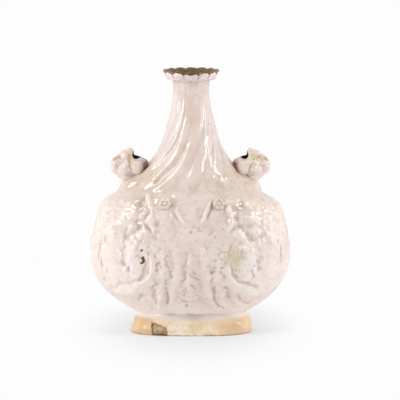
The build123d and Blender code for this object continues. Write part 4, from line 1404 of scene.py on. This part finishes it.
# Name, place to the right in the world, and side: 1 at the front, -1 at the rear
rosette_places = (
    ("front_left_rosette", -28.4, 1.0),
    ("front_right_rosette", 32.2, 1.0),
    ("rear_left_rosette", 28.4, -1.0),
    ("rear_right_rosette", -32.2, -1.0),
)
rosette_height = 153.2
rosette_columns = 96
rosette_rows = 34


def rosette_surface():
    """Rings of a flower: petals that round off over the radius, notched between, and a round button."""
    turn = 2 * np.pi * np.arange(rosette_columns) / rosette_columns
    petal = np.abs(np.cos(3 * turn)) ** petal_bluntness
    share = np.linspace(0.02, 1.0, rosette_rows)[:, None]
    radius = share * rosette_radius * (notched_radius_share + (1 - notched_radius_share) * petal)
    full = notched_rise_share + (1 - notched_rise_share) * petal * smooth_step(0.3, 0.6, share)
    rise = rosette_rise * (1 - share**4) ** 0.7 * full
    rise -= button_groove * bell((radius - button_radius - 0.6) / 0.9)
    rise += button_rise * np.sqrt(np.clip(1 - (radius / button_radius) ** 2, 0, 1))
    rings = np.stack([radius * np.cos(turn), radius * np.sin(turn), rise], -1)
    under = rings[-1:] * np.array([1.0, 1.0, 0.0]) - np.array([0.0, 0.0, rosette_sink])
    # Pooled glaze round the button, between the petals and at the rim, partly painted shade
    pool = 0.5 * bell(radius - button_radius - 0.5) + 0.35 * (1 - petal) * share + 0.35 * share**6
    return np.concatenate([rings, under]), np.concatenate([pool, np.ones((1, rosette_columns))])


def capped_grid(name, points, normals, attributes):
    """Mesh of a grid that wraps along its columns, with its first and last rows closed by a face."""
    index = np.arange(points[..., 0].size).reshape(points.shape[:2])
    beside = np.roll(index, -1, 1)
    faces = np.stack([index[:-1], beside[:-1], beside[1:], index[1:]], -1).reshape(-1, 4).tolist()
    faces += [index[0, ::-1].tolist(), index[-1].tolist()]
    return glazed_mesh(name, points, faces, normals, attributes)


def seat_on_shoulder(across, side):
    """Place and outward way of the oval shoulder at the rosettes' height, from its slopes."""
    heights = rosette_height + slope_reach * np.array([0.0, 1.0, -1.0])
    wide, wide_up, wide_down = section_at(1, heights)
    deep, deep_up, deep_down = section_at(2, heights)
    forward = deep * np.sqrt(1 - (across / wide) ** 2)
    tilt = (across / wide) ** 2 * (wide_down - wide_up) / wide
    tilt += (forward / deep) ** 2 * (deep_down - deep_up) / deep
    tilt /= 2 * slope_reach
    out = np.array([across / wide**2, -side * forward / deep**2, tilt])
    return np.array([across, -side * forward, rosette_height]), out / np.linalg.norm(out)


rosette_points, rosette_pool = rosette_surface()
for name, across, side in rosette_places:
    seat, out = seat_on_shoulder(across, side)
    level = np.cross([0.0, 0.0, 1.0], out)
    level /= np.linalg.norm(level)
    turned = rosette_points @ np.stack([level, np.cross(out, level), out]) + seat + rosette_lift * out
    turned += ripples(turned, rosette_ripple)[..., None] * out
    normals = grid_normals(turned, False, True)
    piece = capped_grid(name + "_glazed", turned, normals, {"pool": rosette_pool})
    piece.data.materials.append(glaze)
    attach(piece, "root")
    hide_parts(name)


# --- Light and floor ---
# Two tall soft boxes stand in front at the left and right of a white table in a white room.
box_distance = 1.3
box_middle_height = 0.16
box_height = 1.0
# Name, azimuth and elevation from the camera's side, in degrees, width in metres and power in watts
soft_boxes = (("soft_box_left", -59.0, 33.0, 0.28, 8.8), ("soft_box_right", 66.0, 31.0, 0.22, 6.7))
for name, azimuth, rise, width, power in soft_boxes:
    box_data = bpy.data.lights.new(name, "AREA")
    box_data.shape = "RECTANGLE"
    box_data.size, box_data.size_y, box_data.energy = width, box_height, power
    box = bpy.data.objects.new(name, box_data)
    swing, lift = np.radians(azimuth), np.radians(rise)
    box_reach = box_distance * np.cos(lift)
    box_up = box_middle_height + box_distance * np.sin(lift)
    box.location = (box_reach * np.sin(swing), -box_reach * np.cos(swing), box_up)
    box.rotation_euler = (np.pi / 2 - lift, 0.0, swing)
    bpy.context.scene.collection.objects.link(box)

# The room is darker in front of the flask, where the camera stands, and brighter at the sides
room_light = (0.755, 0.757, 0.768, 1)
white = (0.983, 0.983, 0.983, 1)
world = bpy.data.worlds.new("white_room")
world.use_nodes = True
bpy.context.scene.world = world
tree = world.node_tree
tree.nodes.clear()
way = add_node(tree, "TexCoord", {}, "Generated")
way_x, way_y, way_z = (add_node(tree, "SeparateXYZ", {0: way}, axis) for axis in "XYZ")
aside = add_node(tree, "Math", {0: way_x}, operation="ABSOLUTE")
back, sides, low = (
    add_node(tree, "MapRange", rising(*ends), **softly)
    for ends in (
        (way_y, -0.9, 0.4, 0.06, 1.0),
        (aside, 0.6, 1.0, 0.0, 1.5),
        (way_z, 0.0, 1.0, 1.08, 0.8),
    )
)
brightness = add_node(tree, "Math", {0: back, 1: sides}, operation="ADD")
brightness = add_node(tree, "Math", {0: brightness, 1: low}, operation="MULTIPLY")
room = add_node(tree, "Background", {"Color": room_light, "Strength": brightness})
seen = add_node(tree, "Background", {"Color": white, "Strength": 1.0})
camera_ray = add_node(tree, "LightPath", {}, "Is Camera Ray")
shown = add_node(tree, "MixShader", {0: camera_ray, 1: room, 2: seen})
add_node(tree, "OutputWorld", {"Surface": shown})

# The table keeps its shadow near the foot and fades to the white of the backdrop farther out
floor_size = 6.0
fade_reach = (0.06, 0.26)
fade_stretch = (1.8, 1.0, 1.0)
floor_mesh = bpy.data.meshes.new("table_top")
corners = [(x * floor_size, y * floor_size, 0.0) for x, y in ((-1, -1), (1, -1), (1, 1), (-1, 1))]
floor_mesh.from_pydata(corners, [], [(0, 1, 2, 3)])
floor = bpy.data.objects.new("table_top", floor_mesh)
bpy.context.scene.collection.objects.link(floor)
floor_material, tree, place, _ = start_material("white_table", (), ())
oval = add_node(tree, "VectorMath", {0: place, 1: fade_stretch}, operation="MULTIPLY")
away = add_node(tree, "VectorMath", {0: oval}, "Value", operation="LENGTH")
fade = add_node(tree, "MapRange", rising(away, *fade_reach), **softly)
near = add_node(tree, "BsdfDiffuse", {"Color": (0.81, 0.842, 0.866, 1)})
far = add_node(tree, "Emission", {"Color": white})
seen = add_node(tree, "MixShader", {0: fade, 1: near, 2: far})
plain = add_node(tree, "BsdfDiffuse", {"Color": (0.93, 0.93, 0.93, 1)})
camera_ray = add_node(tree, "LightPath", {}, "Is Camera Ray")
mixed = add_node(tree, "MixShader", {0: camera_ray, 1: plain, 2: seen})
add_node(tree, "OutputMaterial", {"Surface": mixed})
floor_mesh.materials.append(floor_material)
